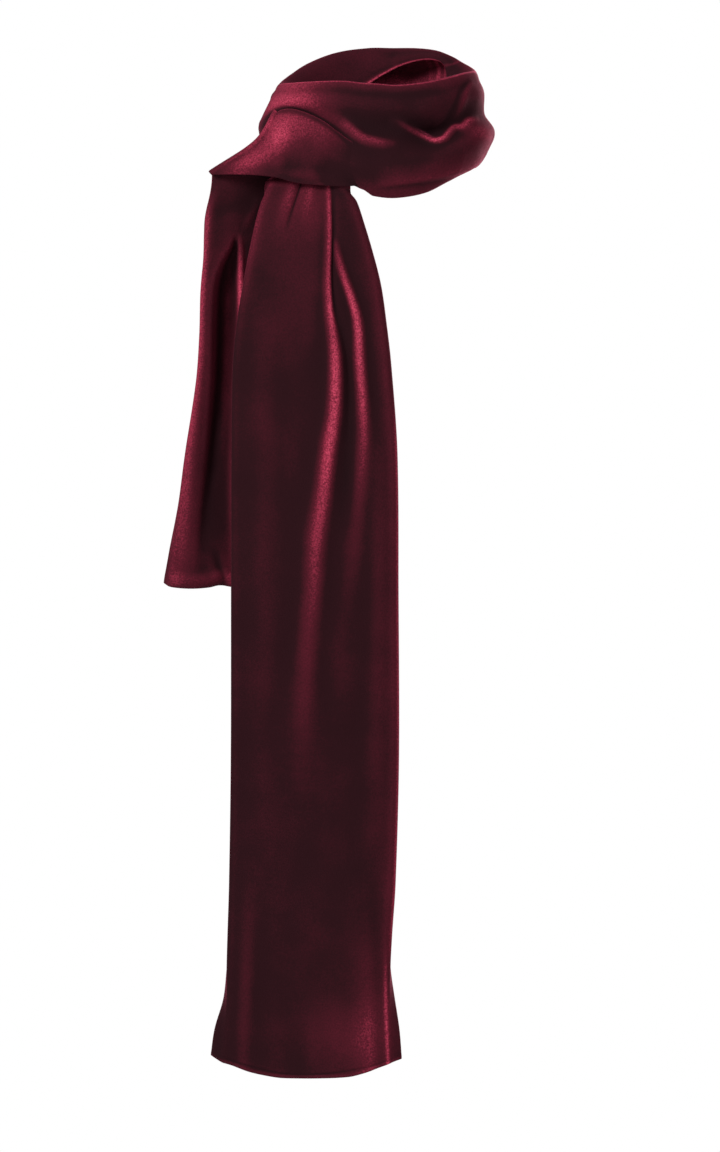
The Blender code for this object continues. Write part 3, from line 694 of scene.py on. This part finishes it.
# a painted highlight down the short tail's left rim
shortStrokes = {
    "leftRim": ((-155, -75, 3, 3.5, 0.26), (-158, -120, 3, 3.5, 0.28), (-161, -160, 3.5, 4, 0.28),
                (-163, -204, 4, 4, 0.26), (-166, -245, 4.5, 4, 0.28), (-174, -311, 5, 5, 0.25),
                (-179, -360, 7, 5, 0.19), (-183, -400, 8, 6, 0.13), (-186, -428, 8, 6, 0.09)),
}


def loopBehind(x, z):
    # Y of the loop's laid cloth straight behind each place of the lap, or beside it where it is near
    widest, least = lap["carried"]
    front = loopCloth[np.abs(loopTurn) < widest][:, loopShare > least]
    rows, columns = front.shape[:2]
    number = np.arange(rows * columns).reshape(rows, columns)
    quads = np.stack([number[:-1, :-1], number[1:, :-1], number[1:, 1:], number[:-1, 1:]], -1)
    tree = bvhtree.BVHTree.FromPolygons(front.reshape(-1, 3).tolist(), quads.reshape(-1, 4).tolist())
    depth = np.full(x.size, np.inf)
    for k, (px, pz) in enumerate(zip(x.ravel(), z.ravel())):
        hit = tree.ray_cast(Vector((px, lap["before"], pz)), Vector((0, 1, 0)))[0]
        if hit is None:
            hit = tree.find_nearest(Vector((px, lap["level"], pz)), lap["beside"])[0]
        if hit is not None:
            depth[k] = hit[1]
    return depth.reshape(x.shape)


def evened(values, times):
    # softens a grid of numbers
    for _ in range(times):
        padded = np.pad(values, 1, mode="edge")
        values = (padded[:-2, 1:-1] + padded[2:, 1:-1] + padded[1:-1, :-2] + padded[1:-1, 2:]
                  + 4 * values) / 8
    return values


def turnedEdge(swing, distance, radius):
    # outward and backward from where a margin starts to turn, after a distance along the cloth
    swing = np.radians(np.maximum(swing, 1.0))
    angle = np.minimum(distance / radius, swing)
    rest = np.maximum(distance - radius * swing, 0.0)
    return (radius * np.sin(angle) + rest * np.cos(swing),
            radius * (1 - np.cos(angle)) + rest * np.sin(swing))


def tailSection(row, rightSwing, across, cut):
    # x and depth across a hanging stretch whose margins turn back
    leftStart = row["left"] + cut["leftTurn"]
    rightStart = row["right"] - cut["rightTurn"]
    edge = cut["marginShare"]
    inner = np.clip((across - edge) / (1 - 2 * edge), 0, 1)
    fromLeft = cut["margin"] * np.clip(1 - across / edge, 0, 1)
    fromRight = cut["margin"] * np.clip(1 - (1 - across) / edge, 0, 1)
    leftOut, leftBack = turnedEdge(row["leftSwing"], fromLeft, cut["leftTurn"])
    rightOut, rightBack = turnedEdge(rightSwing, fromRight, cut["rightTurn"])
    slant = row["leftDepth"] + (row["rightDepth"] - row["leftDepth"]) * across
    return (leftStart + (rightStart - leftStart) * inner - leftOut + rightOut,
            slant + (leftBack + rightBack))


def hangingHeights(top, endLine, down, across):
    # the end's height at each place across, and the heights from the top down to it
    end = throughPoints(*zip(*endLine), across)
    return end, top[None, :, 2] + (end - top[:, 2])[None, :] * down[:, None]


def hungFrom(top, x, y, height, blend):
    # the points, which come into their own shape over the blend's length below the top
    follow = fade(height, top[None, :, 2], -blend)
    points = np.stack([top[None, :, 0] + (x - top[None, :, 0]) * follow,
                       top[None, :, 1] + (y - top[None, :, 1]) * follow, height], -1)
    return points, follow


def lapFree(along):
    # 0 where the lap is one with the loop, 1 where it lies free on it
    return smoothStep(along / lap["flatShare"] / lap["meltLength"])[:, None]


def lapPoints(along, share):
    flatShare = lap["flatShare"]
    flat = along[along <= flatShare + tiny]
    row = readRows(lapColumns, lapRows, lapRows[-1][0] * flat / flatShare)
    ends = [np.stack([row[k + "X"], row[k + "Y"], row[k + "Z"]], -1) for k in ("top", "middle", "bottom")]
    even = np.linspace(0, 1, lap["helperSteps"])
    points = throughPoints(np.arange(3), np.array(ends), even * 2).transpose(1, 0, 2)
    depth = loopBehind(points[..., 0], points[..., 2])
    melt = lapFree(flat) ** lap["meltPower"]
    clearance = lap["sunk"] + (lap["clearance"] - lap["sunk"]) * melt
    onLoop = np.where(np.isfinite(depth), depth - clearance, points[..., 1])
    free = np.minimum(points[..., 1], onLoop)
    rough = onLoop + (free - onLoop) * melt
    first, last = lap["softened"]
    soft = evened(np.minimum(rough, onLoop), first)
    points[..., 1] = evened(rough + (soft - rough) * melt ** 0.5, last)
    points = throughPoints(even, points.transpose(1, 0, 2), share).transpose(1, 0, 2)
    points[..., 1] -= melt * foldField(lapFolds, points[..., 0], points[..., 2])
    uneven = melt * fade(flat, flatShare, -lap["creaseFade"])[:, None]
    for size, rise, pattern in lap["unevenness"]:
        points[..., 1] -= rise * uneven * np.abs(unevenness(points, size, pattern))
    angle = math.pi * (along[along > flatShare + tiny] - flatShare) / (1 - flatShare)
    out = (lap["turnRadius"] * np.sin(angle) * lap["creaseSlant"])[:, None]
    back = (lap["turnRadius"] * (1 - np.cos(angle)))[:, None]
    turned = points[-1][None] + np.stack(np.broadcast_arrays(-out, back, out), -1)
    return np.concatenate([points, turned])


def shortPoints(down, across, top):
    # top has the crease's points, one for each place across
    end, height = hangingHeights(top, shortEnd, down, across)
    row = readRows(shortColumns, shortRows, np.minimum(height, shortRows[0][0]))
    x, y = tailSection(row, shortTail["rightSwing"], across[None, :], shortTail)
    beside = np.abs(x - row["valleyX"]) / row["valleyWide"]
    valley = row["valleyIn"] * np.exp(-beside ** shortTail["valleySteepness"])
    front = fade(across, *shortTail["leftFade"])
    y = y + valley - front * foldField(shortFolds, x, height)
    points, follow = hungFrom(top, x, y, height, shortTail["blend"])
    for size, rise, pattern in shortTail["unevenness"]:
        points[..., 1] += rise * follow * unevenness(points, size, pattern)
    # the closed end is full, and its very edge curls back, but not in the margins
    above = height - end
    between = front * fade(across, *shortTail["rightFade"])
    puff = endPuff["out"] * bell(above, endPuff["middle"], endPuff["reach"])
    points[..., 1] += between * (endPuff["curl"] * bell(above, 0.0, endPuff["curlReach"]) - puff)
    return points


shortAcross = edgedSteps(shortTail["acrossSteps"], shortTail["width"])
shortDown = endedSteps(shortTail["downSteps"], shortTail["length"])
lowShares = 1 - shortTail["corner"] * shortAcross                 # from the foot upward
upperAcross = edgedSteps(lap["upperSteps"], lap["upperLength"], start=False)
highShares = (1 - shortTail["corner"]) * (1 - upperAcross)
lapShare = np.concatenate([lowShares, highShares[1:]])[::-1]
lapAlong = np.concatenate([np.linspace(0, lap["flatShare"], lap["flatSteps"] + 1),
                           np.linspace(lap["flatShare"], 1, lap["turnSteps"] + 1)[1:]])
lapCloth = lapPoints(lapAlong, lapShare)
lapUv, lapAcross = arcLengths(lapCloth)
thinned = lap["thinned"] + (1 - lap["thinned"]) * lapFree(lapAlong)
lapFull = bothEdges(lapAcross) * thinned / cloth["swell"]
crease = lapCloth[-1][::-1][:len(shortAcross)]
shortCloth = shortPoints(shortDown, shortAcross, crease)
shortUv, shortSide = arcLengths(shortCloth)
shortUv = np.stack([shortUv[..., 0] + lapUv[-1, 0, 0], lapAcross[-1] - shortUv[..., 1]], -1)
aboveEnd = shortUv[-1, 0, 0] - shortUv[..., 0]
shortFull = bothEdges(shortSide) * edgeRound(aboveEnd)
shortFull *= (1 + shortTail["swollen"] * bell(aboveEnd, *shortTail["swellPlace"])) / cloth["swell"]
# painted light and shade on the lap, which takes the loop's where it melts into it
lapStrokes = sheetStrokes(lapCloth, lapPatches, lapFolds, lapShine)
asLoop = sheetStrokes(lapCloth, loopPatches, loopFrontFolds, loopShine)
lapStrokes = asLoop + (lapStrokes - asLoop) * lapFree(lapAlong) ** (0.5 * lap["meltPower"])
# painted light and shade on the short tail, with a painted highlight along its puffed end
hangStrokes = sheetStrokes(shortCloth, shortPatches, shortFolds, shortShine, shortStrokes)
fromEnd = shortCloth[..., 2] - shortCloth[-1:, :, 2]
hangStrokes += endPuff["shine"] * bell(fromEnd, endPuff["middle"], endPuff["middle"])
# past the crease the cloth's other side shows, so the grid is laid the other way round there
shortFront, shortBack = paintedLightAndShade(shortCloth, nearestEdge(shortSide), hangStrokes)
hanging = layGrid("hanging", shortCloth[:, ::-1], shortFull[:, ::-1], shortUv[:, ::-1],
                  (shortBack[:, ::-1], shortFront[:, ::-1]))
lapAndShortTail = layGrid("lapAndShortTail", lapCloth, lapFull, lapUv,
                          paintedLightAndShade(lapCloth, lapAcross[None, :], lapStrokes))
bpy.ops.object.select_all(action="DESELECT")
hanging.select_set(True)
lapAndShortTail.select_set(True)
bpy.context.view_layer.objects.active = lapAndShortTail
bpy.ops.object.join()
finishSheet(lapAndShortTail, joined=True)


# the long tail

longTail = {
    "downSteps": 262,
    "acrossSteps": 148,
    "length": 812.0,
    "width": 180.0,
    "margin": 17.0,
    "marginShare": 0.12,
    "leftTurn": 3.0,
    "rightTurn": 5.0,
    "leftFade": (0.07, 0.07),  # where its folds begin and end, as shares across
    "rightFade": (0.93, -0.07),
    "topLeft": 300.0,          # degrees, where its top meets the loop
    "topRight": 345.0,
    "lastShares": (0.97, 1.0),                    # of the loop's section; the tail goes on in their line
    "gap": 0.15,
    "blend": 18.0,
    "swollen": 0.15,           # how much thicker the hem is, and how far up
    "swellPlace": (2.0, 2.0),
    "stretch": (1.0, 1.0, 0.35),                  # its unevenness is longer downward
    "unevenness": ((60.0, 1.1, 13), (22.0, 0.35, 14)),
}
tailColumns = ("height", "left", "right", "leftDepth", "rightDepth", "crown", "leftSwing", "rightSwing")
tailRows = (
    (-69, -99, -28.5, -74, -94, 4, 70, 80),
    (-84, -106, -20.5, -78, -94, 5, 100, 110),
    (-100, -110.5, -15, -80, -93, 6, 115, 120),
    (-130, -117, -6, -82, -92, 7, 125, 125),
    (-160, -122.5, 1.5, -83, -91, 8, 130, 130),
    (-195, -128, 6.5, -84, -90, 8, 130, 130),
    (-232, -131.6, 10.7, -85, -89, 8, 130, 130),
    (-312, -132.8, 16.3, -86, -88, 8, 130, 130),
    (-440, -133, 17.3, -87, -87, 7, 130, 130),
    (-590, -133.2, 17.7, -87, -87, 7, 125, 125),
    (-704, -134.8, 14.6, -87, -87, 6, 120, 120),
    (-750, -136.2, 11.5, -87, -87, 6, 110, 110),
    (-780, -137, 10, -87, -87, 5, 90, 90),
    (-810, -137.2, 10, -87, -87, 4, 74, 64),
    (-838, -140.2, 11, -87, -87, 4, 48, 44),
    (-861, -142.6, 12, -87, -87, 3, 43, 38),
    (-881, -144, 12.5, -87, -87, 3, 38, 34),
)
hemLine = ((0, -861.2), (0.08, -865.4), (0.15, -868.8), (0.243, -875.2), (0.341, -879.2), (0.40, -880.6),
           (0.53, -880.9), (0.70, -879.4), (0.779, -875.6), (0.84, -871.3), (0.912, -867.2), (1, -864.3))
tailFolds = {      # x, z, half width on the right, half width on the left, out
    "mainRidge": ((-46, -62, 1.8, 3.6, 1.2), (-45, -112, 1.7, 3.8, 2.2), (-46, -152, 1.7, 4, 2.8),
                  (-44.5, -180, 2.4, 5.2, 4.0), (-40.5, -206, 4.5, 7, 5.6), (-38.5, -232, 6, 8, 6.6),
                  (-39.5, -272, 7.5, 9, 6.5), (-45, -312, 8.5, 10, 6), (-50, -352, 10, 12, 5.5),
                  (-56, -392, 11, 13, 5), (-58.5, -432, 12, 14, 4.5), (-63, -475, 13, 15, 4),
                  (-69, -557, 15, 17, 2.5), (-73, -640, 18, 18, 0)),
    "crease": ((-41.5, -66, 2.5, 1.6, 0), (-41.5, -112, 2.6, 1.6, -2.2), (-42.5, -152, 2.6, 1.6, -2.4),
               (-40.5, -176, 2.6, 1.6, -1.5), (-36, -194, 2.6, 2, 0)),
    "sideRidge": ((-41, -112, 2.5, 3, 0), (-34, -144, 4, 3.5, 3.6), (-25, -171, 4.5, 4, 5),
                  (-19, -195, 5.5, 5, 5), (-16.7, -232, 6, 6, 5), (-14, -272, 7, 7, 4.0),
                  (-14, -312, 9, 9, 2.5), (-22, -400, 14, 14, 1.5), (-33, -475, 16, 16, 1.2),
                  (-36, -560, 18, 18, 0)),
    "between": ((-36, -190, 4, 4, 0), (-29, -225, 4, 4, -2.5), (-27, -270, 5, 5, -2.5),
                (-28, -320, 7, 7, -1.5), (-34, -400, 10, 10, 0)),
    "tuck": ((-70, -62, 2, 2.2, -1.8), (-71, -70, 2, 2.2, -2.4), (-76, -85, 2, 2.2, -2.0),
             (-81, -100, 2.5, 2.5, -0.8), (-84, -114, 3, 3, 0)),
    "tuckLeft": ((-77, -60, 4, 4, 1.4), (-80, -72, 4, 5, 2.0), (-85, -88, 5, 5, 1.6), (-92, -112, 6, 6, 0)),
    "tuckRight": ((-60, -60, 5, 6, 1.2), (-62, -74, 5, 6, 1.8), (-65, -90, 5, 6, 1.2), (-68, -108, 6, 6, 0)),
    "leftLong": ((-100, -140, 10, 12, 0), (-104, -250, 14, 12, 1.6), (-102, -400, 16, 13, 1.8),
                 (-100, -560, 16, 14, 1.4), (-104, -700, 16, 14, 0)),
    "rightLong": ((-4, -260, 7, 8, 0), (0, -360, 8, 9, 1.6), (0, -480, 9, 10, 2.0),
                  (-2, -600, 10, 12, 1.6), (-4, -720, 12, 14, 0)),
    "lowLeft": ((-117, -700, 9, 9, 0), (-118, -740, 9, 9, 1.0), (-121, -800, 9, 9, 1.8),
                (-123, -850, 9, 9, 1.4), (-124, -880, 9, 9, 0.8)),
    "lowMiddle": ((-74, -780, 14, 14, 0), (-72, -830, 12, 14, -1.2), (-70, -880, 12, 14, -1.6)),
    "lowRight": ((-16, -690, 12, 18, 0), (-12, -760, 12, 18, 1.8), (-9, -830, 10, 20, 3.4),
                 (-8, -885, 10, 22, 3.6)),
    "hemSeam": ((-150, -857.5, 1.4, 1.4, -0.7), (-126, -867, 1.4, 1.4, -0.8), (-86, -876.4, 1.4, 1.4, -0.8),
                (-45, -876, 1.4, 1.4, -0.8), (-8, -869.6, 1.4, 1.4, -0.8), (19, -861.2, 1.4, 1.4, -0.6)),
}
# painted highlights along the tail's ridges and folds, and painted shade in its crease, in the hollow
# between the ridges and in the tuck
tailShine = {
    "mainRidge": (0.06, 0.08, 0.08, 0.20, 0.36, 0.48, 0.48, 0.43, 0.36, 0.27, 0.20, 0.12, 0.05, 0),
    "crease": (0, -0.10, -0.12, -0.08, 0),
    "sideRidge": (0, 0.26, 0.42, 0.46, 0.42, 0.36, 0.24, 0.08, 0.03, 0),
    "between": (0, -0.07, -0.07, -0.05, 0),
    "tuck": (-0.10, -0.12, -0.12, -0.05, 0),
    "tuckLeft": (0.03, 0.05, 0.02, 0),
    "tuckRight": (0.03, 0.05, 0.02, 0),
    "lowLeft": (0, 0.01, 0.03, 0.03, 0.02),
    "lowRight": (0, 0.02, 0.05, 0.06),
}
# patches of painted highlight, partly the nap's lie
tailPatches = (
    (-80, -82, 26, 10, 70, 0.12),
    (-58, -84, 34, 12, 88, 0.14),
    (-20, -840, 40, 34, 0, 0.19),
    (-74, -140, 90, 28, 90, 0.06),
)
# a painted highlight along the main ridge's upper line
tailStrokes = {
    "ridgeLine": ((-45, -64, 1.1, 1.6, 0.20), (-44.2, -112, 1.1, 1.6, 0.36), (-45, -152, 1.1, 1.7, 0.38),
                  (-43.8, -180, 1.4, 2, 0.32), (-40.5, -204, 2, 2, 0)),
}
# bands of painted highlight and painted shade down the margins: middle and half width as shares across,
# heights where a band begins, is full, is still full and ends, strength
tailRims = (
    (0.915, 0.013, -250, -310, -740, -790, 0.30),
    (0.889, 0.010, -750, -800, -900, -910, 0.30),
    (0.085, 0.075, -100, -220, -900, -910, -0.17),
    (0.10, 0.03, 0, -10, -120, -220, 0.10),
)
# a painted highlight along the hem
hemShine = {"reach": 3.6, "fade": 1.5, "strength": 0.12}


def belowLoop(angle, distance):
    # places off the loop's lower edge, straight out from it in the cloth's own plane
    share = np.array(longTail["lastShares"])
    before, here, after = (loopPoints(angle + step, share, fine=False)[0] for step in (-1, 0, 1))
    onward = (after - before)[:, 1]
    onward /= np.linalg.norm(onward, axis=1)[:, None]
    out = here[:, 1] - here[:, 0]
    out -= onward * (out * onward).sum(1)[:, None]
    return here[:, 1] + out / np.linalg.norm(out, axis=1)[:, None] * distance


def tailPoints(down, across):
    angle = longTail["topLeft"] + (longTail["topRight"] - longTail["topLeft"]) * across
    top = belowLoop(angle, longTail["gap"])
    height = hangingHeights(top, hemLine, down, across)[1]
    row = readRows(tailColumns, tailRows, np.minimum(height, tailRows[0][0]))
    x, y = tailSection(row, row["rightSwing"], across[None, :], longTail)
    crown = row["crown"] * np.sin(math.pi * across)
    front = fade(across, *longTail["leftFade"]) * fade(across, *longTail["rightFade"])
    y = y - crown - front * foldField(tailFolds, x, height)
    points, follow = hungFrom(top, x, y, height, longTail["blend"])
    for size, rise, pattern in longTail["unevenness"]:
        stretched = points * np.array(longTail["stretch"])
        points[..., 1] += rise * follow * unevenness(stretched, size, pattern)
    return points


tailAcross = edgedSteps(longTail["acrossSteps"], longTail["width"])
tailDown = endedSteps(longTail["downSteps"], longTail["length"])
tailCloth = tailPoints(tailDown, tailAcross)
tailUv, tailSide = arcLengths(tailCloth)
fromHem = tailUv[-1, 0, 0] - tailUv[..., 0]
tailFull = bothEdges(tailSide) * edgeRound(fromHem)
tailFull *= (1 + longTail["swollen"] * bell(fromHem, *longTail["swellPlace"])) / cloth["swell"]
# painted light and shade on the long tail
tailPaintedLight = sheetStrokes(tailCloth, tailPatches, tailFolds, tailShine, tailStrokes)
tailPaintedLight += hemShine["strength"] * fade(fromHem, hemShine["reach"], -hemShine["fade"])
tailHeight = tailCloth[..., 2]
for place, wide, begins, full, still, ends, strength in tailRims:
    lengthwise = fade(tailHeight, begins, full - begins) * fade(tailHeight, ends, still - ends)
    tailPaintedLight += strength * bell(tailAcross, place, wide) * lengthwise
tailLightAndShade = paintedLightAndShade(tailCloth, nearestEdge(tailSide), tailPaintedLight)
frontTail = finishSheet(layGrid("longTail", tailCloth, tailFull, tailUv, tailLightAndShade))


# velvet

velvet = {
    "shades": ((0.0, (0.012, 0.0045, 0.0058, 1.0)),      # from painted shade through the plain colour to a painted sheen highlight
               (0.25, (0.022, 0.0056, 0.0080, 1.0)),
               (0.50, (0.085, 0.0098, 0.0190, 1.0)),
               (0.75, (0.265, 0.0255, 0.0520, 1.0)),
               (1.0, (0.500, 0.0560, 0.1050, 1.0))),
    "shader": {"Roughness": 0.9, "Specular IOR Level": 0.03, "Sheen Weight": 0.35,
               "Sheen Roughness": 0.3, "Sheen Tint": (1.0, 0.12, 0.25, 1.0)},
    "tufts": {"Scale": 700.0, "Detail": 2.0, "Roughness": 0.6},      # the scale is for each metre
    "tuftDepth": 1.9,
    "patches": {"Scale": 22.0, "Detail": 3.0, "Roughness": 0.55},
    "patchDepth": 0.07,
    "bump": {"Strength": 0.5, "Distance": 0.0006},
}


def addNode(tree, kind, place, values):
    node = tree.nodes.new(kind)
    node.location = place
    for name, value in values.items():
        node.inputs[name].default_value = value
    return node


def velvetMaterial():
    material = bpy.data.materials.new("wineVelvet")
    material.use_nodes = True
    tree = material.node_tree
    link = tree.links.new
    shader = tree.nodes["Principled BSDF"]
    where = addNode(tree, "ShaderNodeTexCoord", (-1200, 0), {})
    tufts = addNode(tree, "ShaderNodeTexNoise", (-900, 0), velvet["tufts"])
    patches = addNode(tree, "ShaderNodeTexNoise", (-900, 300), velvet["patches"])
    link(where.outputs["Object"], tufts.inputs["Vector"])
    link(where.outputs["Object"], patches.inputs["Vector"])
    # the painted light and shade laid on the sheets
    lightAndShade = addNode(tree, "ShaderNodeAttribute", (-900, 550), {})
    lightAndShade.attribute_name = "paintedLightShown"

    def mathNode(kind, place, first, second, third=None):
        node = addNode(tree, "ShaderNodeMath", place, {})
        node.operation = kind
        for socket, value in zip(node.inputs, (first, second, third)):
            if isinstance(value, (int, float)):
                socket.default_value = value
            elif value is not None:
                link(value, socket)
        return node.outputs[0]

    # the shade is the painted light and shade with soft patches of uneven tone, and the tufts show most
    # where it is bright
    uneven = mathNode("MULTIPLY_ADD", (-650, 400), patches.outputs["Fac"], 2 * velvet["patchDepth"],
                      -velvet["patchDepth"])
    soft = mathNode("ADD", (-500, 450), lightAndShade.outputs["Fac"], uneven)
    tuft = mathNode("MULTIPLY_ADD", (-650, 100), tufts.outputs["Fac"], velvet["tuftDepth"],
                    -0.5 * velvet["tuftDepth"])
    squared = mathNode("MULTIPLY", (-400, 600), soft, soft)
    shade = mathNode("MULTIPLY_ADD", (-350, 300), squared, tuft, soft)
    ramp = addNode(tree, "ShaderNodeValToRGB", (-200, 300), {})
    stops = ramp.color_ramp.elements
    while len(stops) < len(velvet["shades"]):
        stops.new(0.5)
    for stop, (place, colour) in zip(stops, velvet["shades"]):
        stop.position = place
        stop.color = colour
    link(shade, ramp.inputs["Fac"])
    link(ramp.outputs["Color"], shader.inputs["Base Color"])
    bump = addNode(tree, "ShaderNodeBump", (-250, -200), velvet["bump"])
    link(tufts.outputs["Fac"], bump.inputs["Height"])
    link(bump.outputs["Normal"], shader.inputs["Normal"])
    for name, value in velvet["shader"].items():
        shader.inputs[name].default_value = value
    return material


wineVelvet = velvetMaterial()
pieces = (neckLoop, lapAndShortTail, frontTail)
for piece in pieces:
    piece.data.materials.clear()
    piece.data.materials.append(wineVelvet)
    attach(piece, "root")
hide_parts("neck_front", "neck_back")
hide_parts("front_lap", "short_tail")
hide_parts("front_tail")
print("velvet on", len(pieces), "pieces")


# floor, light and camera

studio = {
    "floorHeight": -1.45,
    "floorRadius": 3.2,
    "floorSides": 96,
    "floorColour": (0.82, 0.81, 0.80, 1),
    "floorRoughness": 0.8,
    "cameraPlace": (-0.0167, -4.0, -0.424),
    "sensor": 36,
    "frameHeight": 1.07136,    # metres that the camera sees at the scarf, top to bottom
    "backdrop": 1.0,           # what the camera sees behind the scarf
    "world": 0.45,             # what lights it from all round
    "lamps": {                 # place, aim, size, power
        "keyLight": ((-2.0, -2.4, 1.3), (0.0, -0.05, -0.35), 1.1, 90.0),
        "fillLight": ((2.6, -2.2, 0.4), (0.0, 0.0, -0.4), 1.6, 18.0),
        "backLight": ((1.2, 3.2, 0.6), (0.0, 0.0, -0.40), 2.0, 170.0),
    },
}


def areaLight(name, place, aim, size, energy):
    data = bpy.data.lights.new(name, "AREA")
    data.energy = energy
    data.size = size
    lamp = bpy.data.objects.new(name, data)
    bpy.context.scene.collection.objects.link(lamp)
    lamp.location = place
    lamp.rotation_euler = (Vector(aim) - Vector(place)).to_track_quat("-Z", "Y").to_euler()


def paleFloor():
    bpy.ops.object.select_all(action="DESELECT")
    bpy.ops.mesh.primitive_circle_add(vertices=studio["floorSides"], radius=studio["floorRadius"],
                                      fill_type="NGON", location=(0, 0, studio["floorHeight"]))
    floor = bpy.context.object
    floor.name = "floor"
    bpy.ops.object.transform_apply(location=True, rotation=False, scale=False)
    material = bpy.data.materials.new("paleFloor")
    material.use_nodes = True
    shader = material.node_tree.nodes["Principled BSDF"]
    shader.inputs["Base Color"].default_value = studio["floorColour"]
    shader.inputs["Roughness"].default_value = studio["floorRoughness"]
    floor.data.materials.append(material)


paleFloor()
for name, setting in studio["lamps"].items():
    areaLight(name, *setting)
world = bpy.data.worlds.new("studio")
bpy.context.scene.world = world
world.use_nodes = True
background = world.node_tree.nodes["Background"]
background.inputs["Color"].default_value = (1, 1, 1, 1)
rays = world.node_tree.nodes.new("ShaderNodeLightPath")
seen = world.node_tree.nodes.new("ShaderNodeMath")
seen.operation = "MULTIPLY_ADD"
seen.inputs[1].default_value = studio["backdrop"] - studio["world"]
seen.inputs[2].default_value = studio["world"]
world.node_tree.links.new(rays.outputs["Is Camera Ray"], seen.inputs[0])
world.node_tree.links.new(seen.outputs[0], background.inputs["Strength"])
bpy.context.scene.view_settings.view_transform = "Standard"

cameraData = bpy.data.cameras.new("camera")
camera = bpy.data.objects.new("camera", cameraData)
bpy.context.scene.collection.objects.link(camera)
camera.location = studio["cameraPlace"]
camera.rotation_euler = (math.pi / 2, 0, 0)
cameraData.sensor_width = studio["sensor"]
cameraData.lens = studio["sensor"] * -studio["cameraPlace"][1] / studio["frameHeight"]
bpy.context.scene.camera = camera
print("studio ready")
